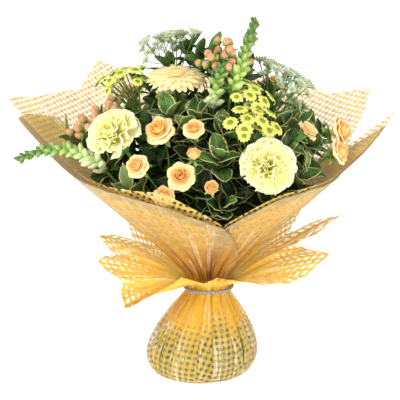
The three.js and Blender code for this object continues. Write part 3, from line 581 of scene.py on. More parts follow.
def water(f):
    """Clear, with a glint; the stems in it are seen enlarged, as upright streaks of green and brown."""
    stems = f.streaks((55, 55, 9), 2.0)
    brown = f.noise(f.place(), 45.0, 2.0).step(0.52, 0.62)
    base = f.coats("8C9022", (stems.step(0.42, 0.56), "34490E"), (brown, "2E240A"))
    return f.surface(base, 0.05, alpha=0.42 + stems.step(0.4, 0.58) * 0.55, specular_ior_level=0.2)


def green_stem(f):
    """Streaks along the stem, with darker patches."""
    streak, patches = f.streaks((420, 420, 24), 4.0), f.noise(f.place(), 26.0, 2.0)
    base = f.coats("4F7A2C", (streak.step(0.3, 0.7), "stem"), (patches.step(0.5, 0.75) * 0.6, "7B6A34"))
    return f.surface(base, 0.5, (streak, 0.3, 0.0006))


def woody_stem(f):
    """Brown bark with fine cracks and paler pores."""
    bark = f.streaks((500, 500, 60), 5.0)
    return f.surface(f.mix(bark.step(0.35, 0.7), "3E2E1B", "75592F"), 0.75, (bark, 0.6, 0.0008))


def petal(f, low, high, edge, foot, veins, rough, glow, bump, turn=0.55, grooves=0, behind=None):
    """Colour runs from the claw to the tip and from the outer petals to the heart, with fine veins that
    follow the petal, a tone of its own for each petal, and a deeper foot (from, to, share, colour). Some
    have grooves along them or a colour behind."""
    u, v = f.map()
    tone, share, back = f.tones()
    relief = f.noise(f.join(u * veins, v * 2.5, tone * 9.0), 1.0, 2.0)
    base = f.coats(low, (share.step(0.0, turn), high), (v.step(0.7, 1.0) * (1.0 - share * 0.8) * 0.7, edge))
    base = f.mix(relief.step(0.35, 0.75) * 0.12, base, low, "MULTIPLY")
    base = f.mix(tone * 0.10, base, "FFFFFF")
    if grooves:
        relief = ((u * grooves).sine() * 0.5 + 0.5) * v.step(0.0, 0.3)
        base = f.mix(relief * 0.12, base, "F2CE88")
    if foot:
        base = f.mix((1.0 - v.step(foot[0], foot[1])) * foot[2], base, foot[3])
    if behind:
        base = f.mix(back * 0.4, base, behind)
    return f.surface(base, rough, (relief, *bump), glow)


# Each glow is painted light: the petals give off a little of their colour, for light that comes through them.
PETALS = {
    # Peach outside, orange at the heart, with a deeper foot to each petal.
    "rose_petal": dict(
        low="rose_outer", high="rose_heart", edge="FDE6B0", foot=(0.15, 0.85, 0.7, "FFC540"), veins=24.0,
        rough=0.55, glow=0.04, bump=(0.2, 0.0006), turn=0.8,
    ),
    # Pale lemon, greener towards the outer petals' feet, paler at the frilled edge.
    "lemon_petal": dict(
        low="F1F2BC", high="carnation", edge="carnation_edge", foot=(0.15, 0.75, 0.6, "E6DF66"), veins=30.0,
        rough=0.6, glow=0.03, bump=(0.25, 0.0006),
    ),
    # Apricot with a cream edge.
    "apricot_petal": dict(
        low="FBE0A0", high="FAD486", edge="FCE9C2", foot=None, veins=20.0, rough=0.6, glow=0.04,
        bump=(0.25, 0.0006),
    ),
    # Soft peach rays with grooves along them, deeper near the eye.
    "gerbera_petal": dict(
        low="gerbera", high="FCE6AA", edge="FDECBE", foot=(0.05, 0.45, 0.4, "F4C880"), veins=14.0,
        rough=0.55, glow=0.12, bump=(0.25, 0.0006), grooves=18.85,
    ),
    # Lime-yellow rays, greener at their feet.
    "lime_daisy": dict(
        low="daisy", high="E8E66C", edge="F0EEA0", foot=(0.1, 0.6, 0.6, "C6D049"), veins=12.0, rough=0.55,
        glow=0.05, bump=(0.3, 0.0004), behind="CBD368",
    ),
}


def gerbera_disc(f):
    """Packed florets, from greenish in the middle to pale peach at the rim."""
    tone, share, _ = f.tones()
    base = f.coats("E6D083", (share.step(0.1, 0.6), "F8DB9A"), (tone * 0.5, "FCEBC0"))
    # Painted light: the disc gives off a little of its colour.
    return f.surface(base, 0.7, glow=0.06)


def daisy_disc(f):
    """An olive button with fine florets and a yellower rim."""
    cells = f.node("TexVoronoi", None, {"Vector": f.place(), "Scale": 900.0})
    base = f.mix(cells.step(0.1, 0.7), "94A224", "disc")
    base = f.mix(f.tones()[0].step(0.1, 0.5), "CBD243", base)
    return f.surface(base, 0.7, (1.0 - cells, 0.6, 0.0006))


def coral_berry(f):
    """Salmon above, fading to yellow-green at the foot, glossy."""
    cloud = f.noise(f.place(), 240.0, 2.0)
    ripe = (f.map()[1] + cloud * 0.4 - 0.2).step(0.1, 0.85)
    base = f.coats("C2B45C", (ripe, "berry"), (f.tones()[0] * 0.4, "DDB083"))
    return f.surface(base, 0.28, (cloud, 0.1, 0.0004), coat_weight=0.4)


def astrantia_head(f):
    """Greenish white bracts with green tips and a net of veins."""
    u, v = f.map()
    veins = f.noise(f.join(u * 9.0, v * 6.0, f.tones()[0] * 7.0), 1.5, 3.0)
    base = f.coats("bract", (v.step(0.55, 1.0) * 0.75, "8FAC66"), (veins.step(0.4, 0.7) * 0.3, "A9BC8C"))
    return f.surface(base, 0.6, (veins, 0.3, 0.0004))


def green_bud(f):
    """Fresh green buds with paler lips, and lines along them; the lowest have opened almost white."""
    u, v = f.map()
    tone, share, pale = f.tones()
    lines = (u * 62.8).sine() * 0.5 + 0.5
    base = f.coats(
        "bud", (share.step(0.2, 0.85), "47701A"), (v.step(0.45, 0.95) * (0.62 - share * 0.58), "E2EAB0"),
        (lines * 0.15, "6F9630"), (tone * 0.2 * (1.0 - share), "BFD474"), (pale * 0.75, "EAF0C6"),
    )
    return f.surface(base, 0.45, (lines, 0.2, 0.0004))


def sepal(f):
    """Plain green, paler towards its tip."""
    tip, tone = f.map()[1].step(0.0, 1.0), f.tones()[0]
    return f.surface(f.coats("5C8A34", (tip, "8DAE54"), (tone * 0.3, "A9C06A")), 0.5)


def leaf_veins(u, v, pairs):
    """The midrib, side veins that slant to the margin, and how near the margin is."""
    side = (u - 0.5).abs() * 2.0
    slant = (v * pairs - side * 1.6).fract() - 0.5
    vein = (1.0 - slant.abs().step(0.0, 0.10)) * (1.0 - side.step(0.6, 1.0))
    return 1.0 - side.step(0.01, 0.07), vein, side


def variegated_leaf(f):
    """Grey-green inside an uneven cream margin, glossy, paler below. A higher tone makes a leaf
    darker and fades its margin and veins: at random for most leaves, and as painted shade for the low
    leaves and the lower sprigs.
    """
    u, v = f.map()
    tone, _, back = f.tones()
    rib, vein, side = leaf_veins(u, v, 7.0)
    uneven = f.noise(f.join(u * 4.0, v * 7.0, tone * 31.0), 1.8, 4.0, 0.65)
    inside = f.noise(f.join(u * 2.0, v * 2.0, tone * 17.0), 1.5, 2.0)
    light = 1.0 - tone.step(0.7, 1.15) * 0.75
    edge = (side + v.step(0.85, 1.0) * 0.1 + uneven * 0.7).step(1.2, 1.26)
    base = f.coats(
        "leaf", (inside.step(0.4, 0.62), "668A46"), (tone.step(0.25, 0.9) * 0.85, "1A3010"),
        (tone.step(0.85, 1.3) * 0.7, "0C1806"), ((1.0 - tone.step(0.0, 0.3)) * 0.5, "82995F"),
        ((rib * 0.6 + vein * 0.14) * light, "94AB62"), (edge * light, "margin"), (back * 0.4, "809A58"),
    )
    bump = (rib * -1.0 - vein * 0.4 + inside * 0.4, 0.35, 0.0006)
    return f.surface(base, 0.4, bump, specular_ior_level=0.25)


def dark_leaf(f):
    """Deep green with a pale midrib and side veins, paler below. A higher tone makes a leaf darker:
    at random for most leaves, and as painted shade for the low leaves and the lower sprigs.
    """
    u, v = f.map()
    tone, _, back = f.tones()
    rib, vein, _ = leaf_veins(u, v, 8.0)
    cloud = f.noise(f.join(u * 3.0, v * 3.0, tone * 13.0), 1.5, 3.0)
    base = f.coats(
        "dark", (cloud.step(0.3, 0.7), "3C6A22"), ((tone * 0.7).least(0.85), "142A0E"),
        ((1.0 - tone.step(0.0, 0.4)) * 0.6, "668E38"), (rib * 0.55 + vein * 0.2, "86A858"),
        (back * 0.4, "7D9A5C"),
    )
    return f.surface(base, 0.38, (rib * -1.0 - vein * 0.6, 0.4, 0.0006), specular_ior_level=0.3)


def floor(f):
    """Plain, pale and matt."""
    base = f.mix(f.noise(f.place(), 1.5, 2.0) * 0.04, "floor", (0.9, 0.9, 0.9, 1))
    return f.surface(base, 0.9, emission_color=(1, 1, 1, 1), emission_strength=0.7)


FINISHES = {
    made.__name__: made
    for made in (
        printed_film, fibre_tissue, grey_cord, twine, water, green_stem, woody_stem, gerbera_disc,
        daisy_disc, coral_berry, astrantia_head, green_bud, sepal, variegated_leaf, dark_leaf, floor,
    )
}


def finish_of(name):
    """The material of that name, made when first asked for."""
    found = bpy.data.materials.get(f"{name}.finish")
    if found:
        return found
    blank = Finish(f"{name}.finish")
    return petal(blank, **PETALS[name]) if name in PETALS else FINISHES[name](blank)


# ---- the bag of water and its collar ----

BAG_OUTLINE = [(52, 0), (70, 4), (79, 25), (74, 50), (56, 84), (36, 110), (31, 118)]
BAG_NECK, COLLAR_FOOT, WATER_LEVEL, PLEAT = 31, 131, 74, 1.1
# The bag's gathers, the columns to each in the film and in the water, and the rows up to the neck.
GATHERS, BAG_COLUMNS, WATER_COLUMNS, BAG_ROWS = 22, 11, 6, 44
# The collar's edge: turn, radius, height.
COLLAR_EDGE = np.array([
    (-180, 150, 190), (-164, 178, 206), (-150, 132, 178), (-136, 168, 190), (-121, 128, 172),
    (-107, 168, 188), (-96, 138, 166), (-84, 158, 166), (-68, 132, 146), (-52, 146, 122),
    (-34, 66, 154), (-8, 50, 143), (14, 46, 150), (38, 54, 146), (58, 134, 148), (78, 172, 180),
    (90, 124, 184), (101, 204, 222), (116, 130, 188), (131, 186, 212), (147, 130, 182),
    (163, 160, 196), (180, 150, 190),
], float)


def bag_columns(per):
    """Turns round the bag, some to each gather, and the gathers' own count along them."""
    count = np.arange(GATHERS * per) / per
    return np.interp(count, np.arange(GATHERS + 1), COLLAR_EDGE[:, 0]), count


def pleats(per):
    """Pleats of uneven width round the bag: for each column edge its pleat, for each column how far it
    stands out (all the way in its pleat's middle, not at all at the pleat's edges), and each pleat's own
    middle, shift and slant of the print."""
    random, columns = draws("pleats"), GATHERS * per
    edges = np.concatenate([[0], np.cumsum(random.uniform(0.6, 1.4, GATHERS))])
    edges = edges / edges[-1] * columns
    at = np.arange(columns + 1)
    pleat = np.minimum(np.searchsorted(edges, at, "right") - 1, GATHERS - 1)
    phase = (at - edges[pleat]) / (edges[pleat + 1] - edges[pleat])
    bulge = (4 * phase * (1 - phase))[:-1] ** 0.7
    shift = random.uniform(-20, 20, (GATHERS, 2))
    slant = np.radians(random.uniform(-24, 24, GATHERS))
    return pleat, bulge, (edges[:-1] + edges[1:]) / 2, shift, slant


def bag_radius(radius, height, turn, count, bulge):
    """The outline's radius, with gathers that deepen towards the neck and pleats that bulge below."""
    deep = smooth(height, WATER_LEVEL, 115)
    t = np.radians(turn)
    fan = 0.5 * np.sin(17 * t + 4 + height * 0.05) + 0.4 * np.sin(31 * t - height * 0.08)
    loose = smooth(height, 1, 20) * (0.35 + 0.65 * smooth(height, 6, 40))
    sunk = loose * (4.2 * (1 - bulge) ** 1.5 + 0.5 * fan - 0.8)
    return radius - PLEAT * np.cos(np.pi * count) * deep - sunk


def bag_outline():
    """The bag's outline from the middle of its base, as radii and heights."""
    r, z = through([(18, 0), (36, 0)] + BAG_OUTLINE, BAG_ROWS).T
    return np.concatenate([[1.0, 9.0], r]), np.maximum(np.concatenate([[0.0, 0.0], z]), 0.0)


def bag_middle(height):
    """The bag leans: its middle moves towards the neck's as it rises."""
    return NECK[0] * np.minimum(height / NECK[2], 1)


def round_axis_at(middle, turn, radius, height):
    """Points at their turns, radii and heights round an upright axis, whose place along X is middle."""
    return direction(turn, 90) * radius[..., None] + np.stack([middle, 0 * height, height], -1)


class BOUQUET_OT_water_bag(bpy.types.Operator):
    """Make the bag of printed film with its flaring collar"""

    bl_idname = "bouquet.water_bag"
    bl_label = "Water Bag"

    def execute(self, context):
        thick = sizes()["film"]
        turn, count = bag_columns(BAG_COLUMNS)
        pleat, bulge, middle, shift, slant = pleats(BAG_COLUMNS)
        r, z = (k[:, None] for k in bag_outline())
        radius = bag_radius(r, z, turn, count, bulge)
        edge, top = (np.interp(turn, COLLAR_EDGE[:, 0], COLLAR_EDGE[:, k]) for k in (1, 2))
        s = np.linspace(0.02, 1, 30)[:, None]
        arch = 4 + 18 * smooth(edge, 70, 100)
        crumple = 0.7 * np.sin(3 * count + 9 * s) + 0.6 * np.sin(13 * count - 7 * s)
        collar_r = BAG_NECK + (edge - BAG_NECK) * s - PLEAT * np.cos(np.pi * count) * (1 - s) ** 2
        collar_z = COLLAR_FOOT + (top - COLLAR_FOOT) * s + arch * s * (1 - s)
        wide = smooth(edge, 50, 130)
        collar_z = collar_z + (crumple + 5.0 * (bulge - 0.6)) * smooth(s, 0, 0.35) * wide
        radius = np.concatenate([radius, collar_r + 0 * s])
        height = np.concatenate([z + 0 * turn, collar_z])
        outer = round_axis_at(bag_middle(height), turn, radius, height)
        inner = outer - normals(outer) * thick
        inner[..., 2] = np.maximum(inner[..., 2], np.where(height < 1, thick, 0))
        steps = np.linalg.norm(np.diff(outer, axis=0, prepend=outer[:1]), axis=-1)
        run = np.cumsum(steps.mean(1))[:, None]
        many = np.concatenate([1.3 + 3.9 * smooth(z, 50, 118), 6.2 - 4.4 * s**0.9])
        layers = many + 0.5 * (1 - bulge) + draws("layers").uniform(-0.5, 0.8, GATHERS)[pleat[:-1]]
        width = np.where(run < 170, np.minimum(radius, 80), radius)
        turn_at = np.interp(middle, np.arange(GATHERS * BAG_COLUMNS + 1), np.append(turn, 180.0))

        def lay_flat(own, a, w, y):
            x = np.radians(a - turn_at[own]) * w + shift[own, 0]
            y = y + shift[own, 1]
            c, k = np.cos(slant[own]), np.sin(slant[own])
            return np.stack([x * c - y * k, x * k + y * c], -1) * MM

        grids = [back_and_forth(g, 0) for g in (0 * radius + turn, width, run + 0 * radius)]
        grids = [np.concatenate([g, g[:, :1] + k], 1) for g, k in zip(grids, (360, 0, 0))]
        # Painted shade in the pleats' valleys (sunk), and painted light on the collar above the neck (glow).
        sunk = (1 - bulge) ** 2 * smooth(grids[2][:, :-1], 60, 140)
        glow = back_and_forth(smooth(height, 126, 142), 0)
        skin = Skin()
        skin.add(
            np.concatenate([outer, inner[::-1]]), "printed_film",
            tone=(back_and_forth(layers, 0), sunk, glow),
            corner_uv=corner_map(lay_flat, pleat[:-1], *grids),
        )
        skin.build("water_bag", "printed_film")
        return {"FINISHED"}


class BOUQUET_OT_water(bpy.types.Operator):
    """Make the water in the bag, with its level surface"""

    bl_idname = "bouquet.water"
    bl_label = "Water"

    def execute(self, context):
        turn, count = bag_columns(WATER_COLUMNS)
        bulge = pleats(WATER_COLUMNS)[1]
        r, z = bag_outline()
        keep = z < WATER_LEVEL
        level = np.interp(WATER_LEVEL, z, r)
        r = np.concatenate([r[keep], [level, level - 3, level * 0.5, 1]])[:, None]
        z = np.concatenate([z[keep] + 0.9, WATER_LEVEL - np.array([0.6, 0, 0, 0])])[:, None]
        within = bag_radius(r - np.minimum(1.0, r * 0.2), z, turn, count, bulge)
        radius = np.where(z < WATER_LEVEL, within, r + 0 * turn)
        z = z + 0 * turn
        skin = Skin()
        skin.add(round_axis_at(bag_middle(z), turn, radius, z), "water")
        skin.build("water", "water")
        return {"FINISHED"}


# ---- the wraps ----

# The sheets' edges: turn, height.
FILM_EDGE = np.array([
    (-180, 390), (-165, 396), (-150, 392), (-136, 418), (-124, 384), (-106, 384), (-90, 395),
    (-81, 340), (-72, 315), (-60, 306), (-46, 303), (-32, 304), (-18, 308), (-5, 276), (8, 249),
    (20, 274), (32, 299), (46, 304), (60, 300), (74, 304), (83, 340), (90, 376), (99, 322),
    (111, 391), (126, 376), (144, 384), (162, 392), (180, 390),
], float)
LEFT_TISSUE_EDGE = np.array([
    (-110, 352), (-98, 366), (-89, 368), (-81, 335), (-72, 311), (-60, 303), (-46, 300), (-32, 294),
    (-18, 284), (-5, 264), (8, 247), (20, 216), (32, 190), (44, 168),
], float)
RIGHT_TISSUE_EDGE = np.array([
    (-10, 190), (0, 222), (10, 248), (20, 268), (32, 294), (46, 300), (60, 296), (74, 300),
    (83, 332), (90, 358), (99, 318), (110, 310),
], float)
WRAP_FOOT, WRAP_NECK, FILM_COLUMNS, FILM_ROWS = 119, 22.2, 433, 50
SLOPE, BACK_SLOPE = 1.03, 0.7
# Where the print's rows follow the sheet's own edge: from, to, and the edge's two ends.
PRINT_SECTORS = [(-180, -72, -90, -136), (-72, 8, 8, -46), (8, 83, 8, 46), (83, 180, 90, 126)]


def wrap_slope(turn):
    """Outward run for each unit of height, less at the back."""
    return SLOPE + (BACK_SLOPE - SLOPE) * smooth(np.abs(turn), 80, 165)


# Folds that run up the wraps from the neck: turn, width, depth, height at which they end.
FOLDS = [
    (1, 11, 14.0, 228), (-15, 3, 4.0, 235), (-22, 4, 6.5, 262), (-38, 5, 7.5, 290), (-53, 4, 6.0, 280),
    (-67, 4, 4.5, 270), (21, 4, 6.0, 250), (34, 4, 5.0, 275), (48, 5, 7.5, 290), (64, 4, 5.0, 270),
]


def fold_depth(turn, height):
    """How far the folds sink below the wraps' surface: sharp valleys that fade upwards."""
    above = np.maximum(height - NECK[2], 0)
    sunk = 0
    for at, wide, deep, top in FOLDS:
        away = (turn - at * (1 + 0.0015 * above)) / wide
        valley = np.exp(-np.abs(away) ** 1.2) * np.where(away > 0, 1, 0.8)
        sunk = sunk + deep * valley * (1 - smooth(height, 0.35 * top + 82, top))
    return sunk * smooth(height, 122, 158)


def wrap_radius(turn, height, layer):
    """A rounded cone round the neck; a sheet further out in the stack stands off it, and all ripple alike."""
    above = np.maximum(height - NECK[2], 0)
    t = np.radians(turn)
    free = smooth(height, 130, 260)
    ripple = 0.9 * np.sin(7 * t + 0.4 + above * 0.012) + 0.6 * np.sin(13 * t + 2.1 - above * 0.02)
    ripple = ripple + 0.4 * np.sin(23 * t + 0.9 + above * 0.03)
    cone = np.hypot(WRAP_NECK, above * wrap_slope(turn))
    stand = layer * (1.5 + 0.022 * np.maximum(height - WRAP_FOOT, 0))
    return cone + stand + 1.1 + ripple * free * 1.3 - fold_depth(turn, height)


def wrap_sheet(edge, layer, columns, rows):
    """A sheet of the cone: turns across, heights from the foot to its own edge."""
    turn = np.linspace(edge[0, 0], edge[-1, 0], columns)
    s = np.linspace(0, 1, rows)[:, None] ** 1.2
    height = WRAP_FOOT + (np.interp(turn, *edge.T) - WRAP_FOOT) * s
    radius = wrap_radius(turn, height, layer)
    return turn + 0 * s, height, round_axis_at(0 * height + NECK[0], turn, radius, height)


def unrolled(sector, turn, height):
    """The cone laid flat, then turned so that the sector's edge lies along a row of the print."""
    def flat(a, h):
        slant = np.maximum(h - NECK[2], -6) * np.hypot(1, SLOPE) + 12
        return slant * np.sin(np.radians(a * 0.717)), slant * np.cos(np.radians(a * 0.717))

    start, end = (np.array([s[k] for s in PRINT_SECTORS])[sector] for k in (2, 3))
    x0, y0 = flat(start, np.interp(start, *FILM_EDGE.T))
    x1, y1 = flat(end, np.interp(end, *FILM_EDGE.T))
    angle = np.arctan2(y1 - y0, x1 - x0)
    x, y = flat(turn, height)
    c, s = np.cos(angle), np.sin(angle)
    front = np.where((sector == 1) | (sector == 2), 0.6, 1.0)
    return np.stack([(x - x0) * c + (y - y0) * s, ((y - y0) * c - (x - x0) * s) * front], -1) * MM


def print_map(turn, height):
    """Each face's corners on the flat film, by the sector in which its middle lies."""
    middle = (turn[:-1, :-1] + turn[:-1, 1:]) / 2
    sector = sum((middle > s[1]).astype(int) for s in PRINT_SECTORS[:-1])
    return corner_map(unrolled, sector, turn, height)


class BOUQUET_OT_wraps(bpy.types.Operator):
    """Make the printed film and the two sheets of tissue round the flowers"""

    bl_idname = "bouquet.wraps"
    bl_label = "Wraps"

    def execute(self, context):
        found = sizes()
        turn, height, outer = wrap_sheet(FILM_EDGE, 0, FILM_COLUMNS, FILM_ROWS)
        rows = np.append(back_and_forth(np.arange(FILM_ROWS), 0), 0)
        outer = outer[:, :-1]
        down, across = np.gradient(outer, axis=0), np.roll(outer, -1, 1) - np.roll(outer, 1, 1)
        inner = outer - unit(np.cross(across, down)) * found["film"]
        layers = np.clip(2.6 - (height[:, :-1] - WRAP_FOOT) / 45, 1, 3)
        # The film's inner face has a painted glow of 0.6, for light that comes through it.
        skin = Skin()
        skin.add(
            np.concatenate([outer, inner[::-1]]), "printed_film", looped=True,
            tone=(back_and_forth(layers, 0), 0, np.repeat([0, 0.6], layers.size)),
            corner_uv=print_map(turn[rows], height[rows]),
        )
        skin.build("film_wrap", "printed_film")
        for node, edge, layer, side in (
            ("tissue_right", RIGHT_TISSUE_EDGE, 1, 1), ("tissue_left", LEFT_TISSUE_EDGE, 2, -1)
        ):
            turn, height, sheet = wrap_sheet(edge, layer, 180, 46)
            lift = normals(sheet) * found["tissue"] / 2
            band = np.minimum(np.interp(turn, *edge.T) - height, np.abs(turn - 8) * 2.0)
            plain = 1 - smooth(band, 12, 16) * (1 - smooth(turn * side, 56, 62) * smooth(height, 200, 230))
            # Painted shade: how deep the folds sink, to darken the tissue there.
            deep = np.clip(fold_depth(turn, height) / 6 - 0.15, 0, 1)
            turn, height, deep = (back_and_forth(g) for g in (turn, height, deep))
            closing = [np.concatenate([g, g[:, :1]], 1) for g in (turn, height)]
            # The inner face is marked by 2 more; it has the stronger painted glow.
            plain = np.concatenate([plain, plain[:, ::-1] + 2], 1)
            skin = Skin()
            skin.add(
                np.concatenate([sheet + lift, (sheet - lift)[:, ::-1]], 1), "fibre_tissue",
                tone=((height - WRAP_FOOT) / 170, plain, deep), corner_uv=print_map(*closing),
            )
            skin.build(node, "fibre_tissue")
        return {"FINISHED"}


TIE_RADIUS, BINDING_RADIUS = 34.7, 20.1


def coil(turns, radius, rise, steps, start=0.0):
    """A line wound round the neck's axis, rising evenly, and the share of it run at each point."""
    v = np.linspace(0, 1, steps)[:, None]
    a = (start + turns * v) * 2 * np.pi
    return np.concatenate([radius * np.cos(a), radius * np.sin(a), rise * (v - 0.5)], 1), v


class BOUQUET_OT_cords(bpy.types.Operator):
    """Make the cord round the film's neck, with its knot at the back, and the twine round the stems"""

    bl_idname = "bouquet.cords"
    bl_label = "Cords"

    def execute(self, context):
        skin = Skin()
        turns, _ = coil(2, TIE_RADIUS, 2.7, 121, 0.25)
        ends = [through([(0, TIE_RADIUS, z), (s * 5, 39, -2), (s * 8, 43, -8), (s * 10, 44.5, -17)], 14)
                for s, z in ((-1, 1.2), (1, -1.2))]
        b = np.linspace(0, 2 * np.pi, 40)[:, None]
        knot = np.concatenate([3.0 * np.sin(b), 37.4 + 1.6 * np.sin(2 * b), 2.3 * np.cos(b)], 1)
        for line in (turns, *ends, knot):
            run = np.concatenate([[0], np.cumsum(np.linalg.norm(np.diff(line, axis=0), axis=1))])[:, None]
            self.wind(skin, line + NECK + (0, 0, -0.4), sizes()["cord"], 9, run * MM * 2, "grey_cord")
        skin.build("neck_tie", "grey_cord")
        skin = Skin()
        wound, v = coil(3, BINDING_RADIUS, 3.6, 161)
        self.wind(skin, wound + NECK, 0.95, 7, v * 0.5, "twine")
        skin.build("stem_binding", "twine")
        return {"FINISHED"}

    def wind(self, skin, line, radius, sides, run, finish):
        """A cord along a line, with its map across it and along it."""
        around = np.arange(sides)
        flat = np.stack([around / sides + 0 * run, run + 0 * around], -1)
        skin.add(tube(line, radius, sides), finish, flat)


# ---- stems ----

# Every stem that runs through the neck, with the place it is bound for.
AIMS = {
    "carnation_left": (-55, 33, 262), "carnation_right": (29, 37, 236),
    "carnation_back": (-150, 27, 236), "mini_carnation": (62, 32, 262), "gerbera": (-95, 8, 290),
    "rose_spray_left": (-34, 35, 150), "rose_spray_front": (-8, 32, 150),
    "rose_spray_right": (80, 38, 180), "rose_spray_back": (160, 25, 160),
    "daisies_right": (54, 12, 255), "daisies_lower": (34, 25, 235), "daisies_left": (-96, 21, 275),
    "daisies_back": (172, 16, 262), "snapdragon_left": (-64, 40, 240),
    "snapdragon_top": (36, 10, 290), "snapdragon_middle": (8, 9, 268),
    "berries_left": (-78, 33, 250), "berries_top": (60, 4, 280), "berries_back": (-128, 29, 250),
    "astrantia_left": (-134, 12, 300), "astrantia_right": (100, 20, 270),
    "astrantia_back": (134, 32, 240), "leaves_far_left": (-90, 41, 290),
    "leaves_lower_left": (-45, 41, 226), "leaves_upper": (-22, 17, 256),
    "leaves_front": (8, 40, 196), "leaves_upper_right": (74, 27, 280),
    "leaves_lower_right": (54, 40, 244), "leaves_back_left": (-111, 36, 270),
    "leaves_back_right": (114, 36, 262), "ruscus_left": (-62, 23, 250),
    "ruscus_middle": (150, 12, 290), "ruscus_back": (-160, 19, 275),
}
BUNDLE_RADIUS, STEM_PITCH, WINDING, STEM_FOOT = 15.4, 4.95, 42, 10
SPIRAL, SPREAD = 0.016, 0.012
# How strongly a stem's curve leaves the neck, as tried, and how strongly it arrives; how near the solid's
# corners a curve, a leaf and a head must come to count as the same.
PULLS, ARRIVAL = (0.36, 0.26, 0.46, 0.16, 0.56, 0.66, 0.08), 0.36
SAME_STEM, SAME_LEAF, SAME_HEAD = 3.2, 0.3, 0.4
# The low leaves' high tones are painted shade: the leaf finishes make them darker.
LOW_TONES, SPRIGS, SPRIG_LENGTH, SPRIG_ROOM, WRAP_ROOM = (0.95, 1.5, 0), 52, 28, 26, 8


def neck_places():
    """Stems side by side at the neck: the more upright, the nearer the middle, on the side that each
    winds to; then crowded ones push each other apart. A place is one complex number."""
    names = sorted(AIMS, key=lambda name: AIMS[name][1])
    spots = []
    for rank, name in enumerate(names):
        way = direction(AIMS[name][0] - WINDING, 90) * BUNDLE_RADIUS * ((rank + 0.3) / len(names)) ** 0.5
        spots.append(complex(way[0], way[1]))
    for _ in range(400):
        for i in range(len(spots)):
            for j in range(i):
                apart = spots[i] - spots[j]
                short = STEM_PITCH - abs(apart)
                if short > 0:
                    push = apart / abs(apart) * short / 2
                    spots[i] += push
                    spots[j] -= push
            if abs(spots[i]) > BUNDLE_RADIUS:
                spots[i] *= BUNDLE_RADIUS / abs(spots[i])
    return {name: np.array([spot.real, spot.imag, 0.0]) for name, spot in zip(names, spots)}


NECK_PLACES = neck_places()


def solid_points(node):
    """The corners of a node's solid, in millimetres, to lay the fine shapes where they are."""
    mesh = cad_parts[node].data
    points = np.empty(len(mesh.vertices) * 3, np.float32)
    mesh.vertices.foreach_get("co", points)
    return points.reshape(-1, 3).astype(float) / MM


def gap_to(points, solid):
    """How far each point is from the nearest corner of a solid."""
    return np.linalg.norm(points[..., None, :] - solid, axis=-1).min(-1)


def neck_slope(place, out):
    """Upward, a little outward and a little round the neck's axis."""
    return place * out + np.array([-place[1], place[0], 0]) * SPIRAL + UP


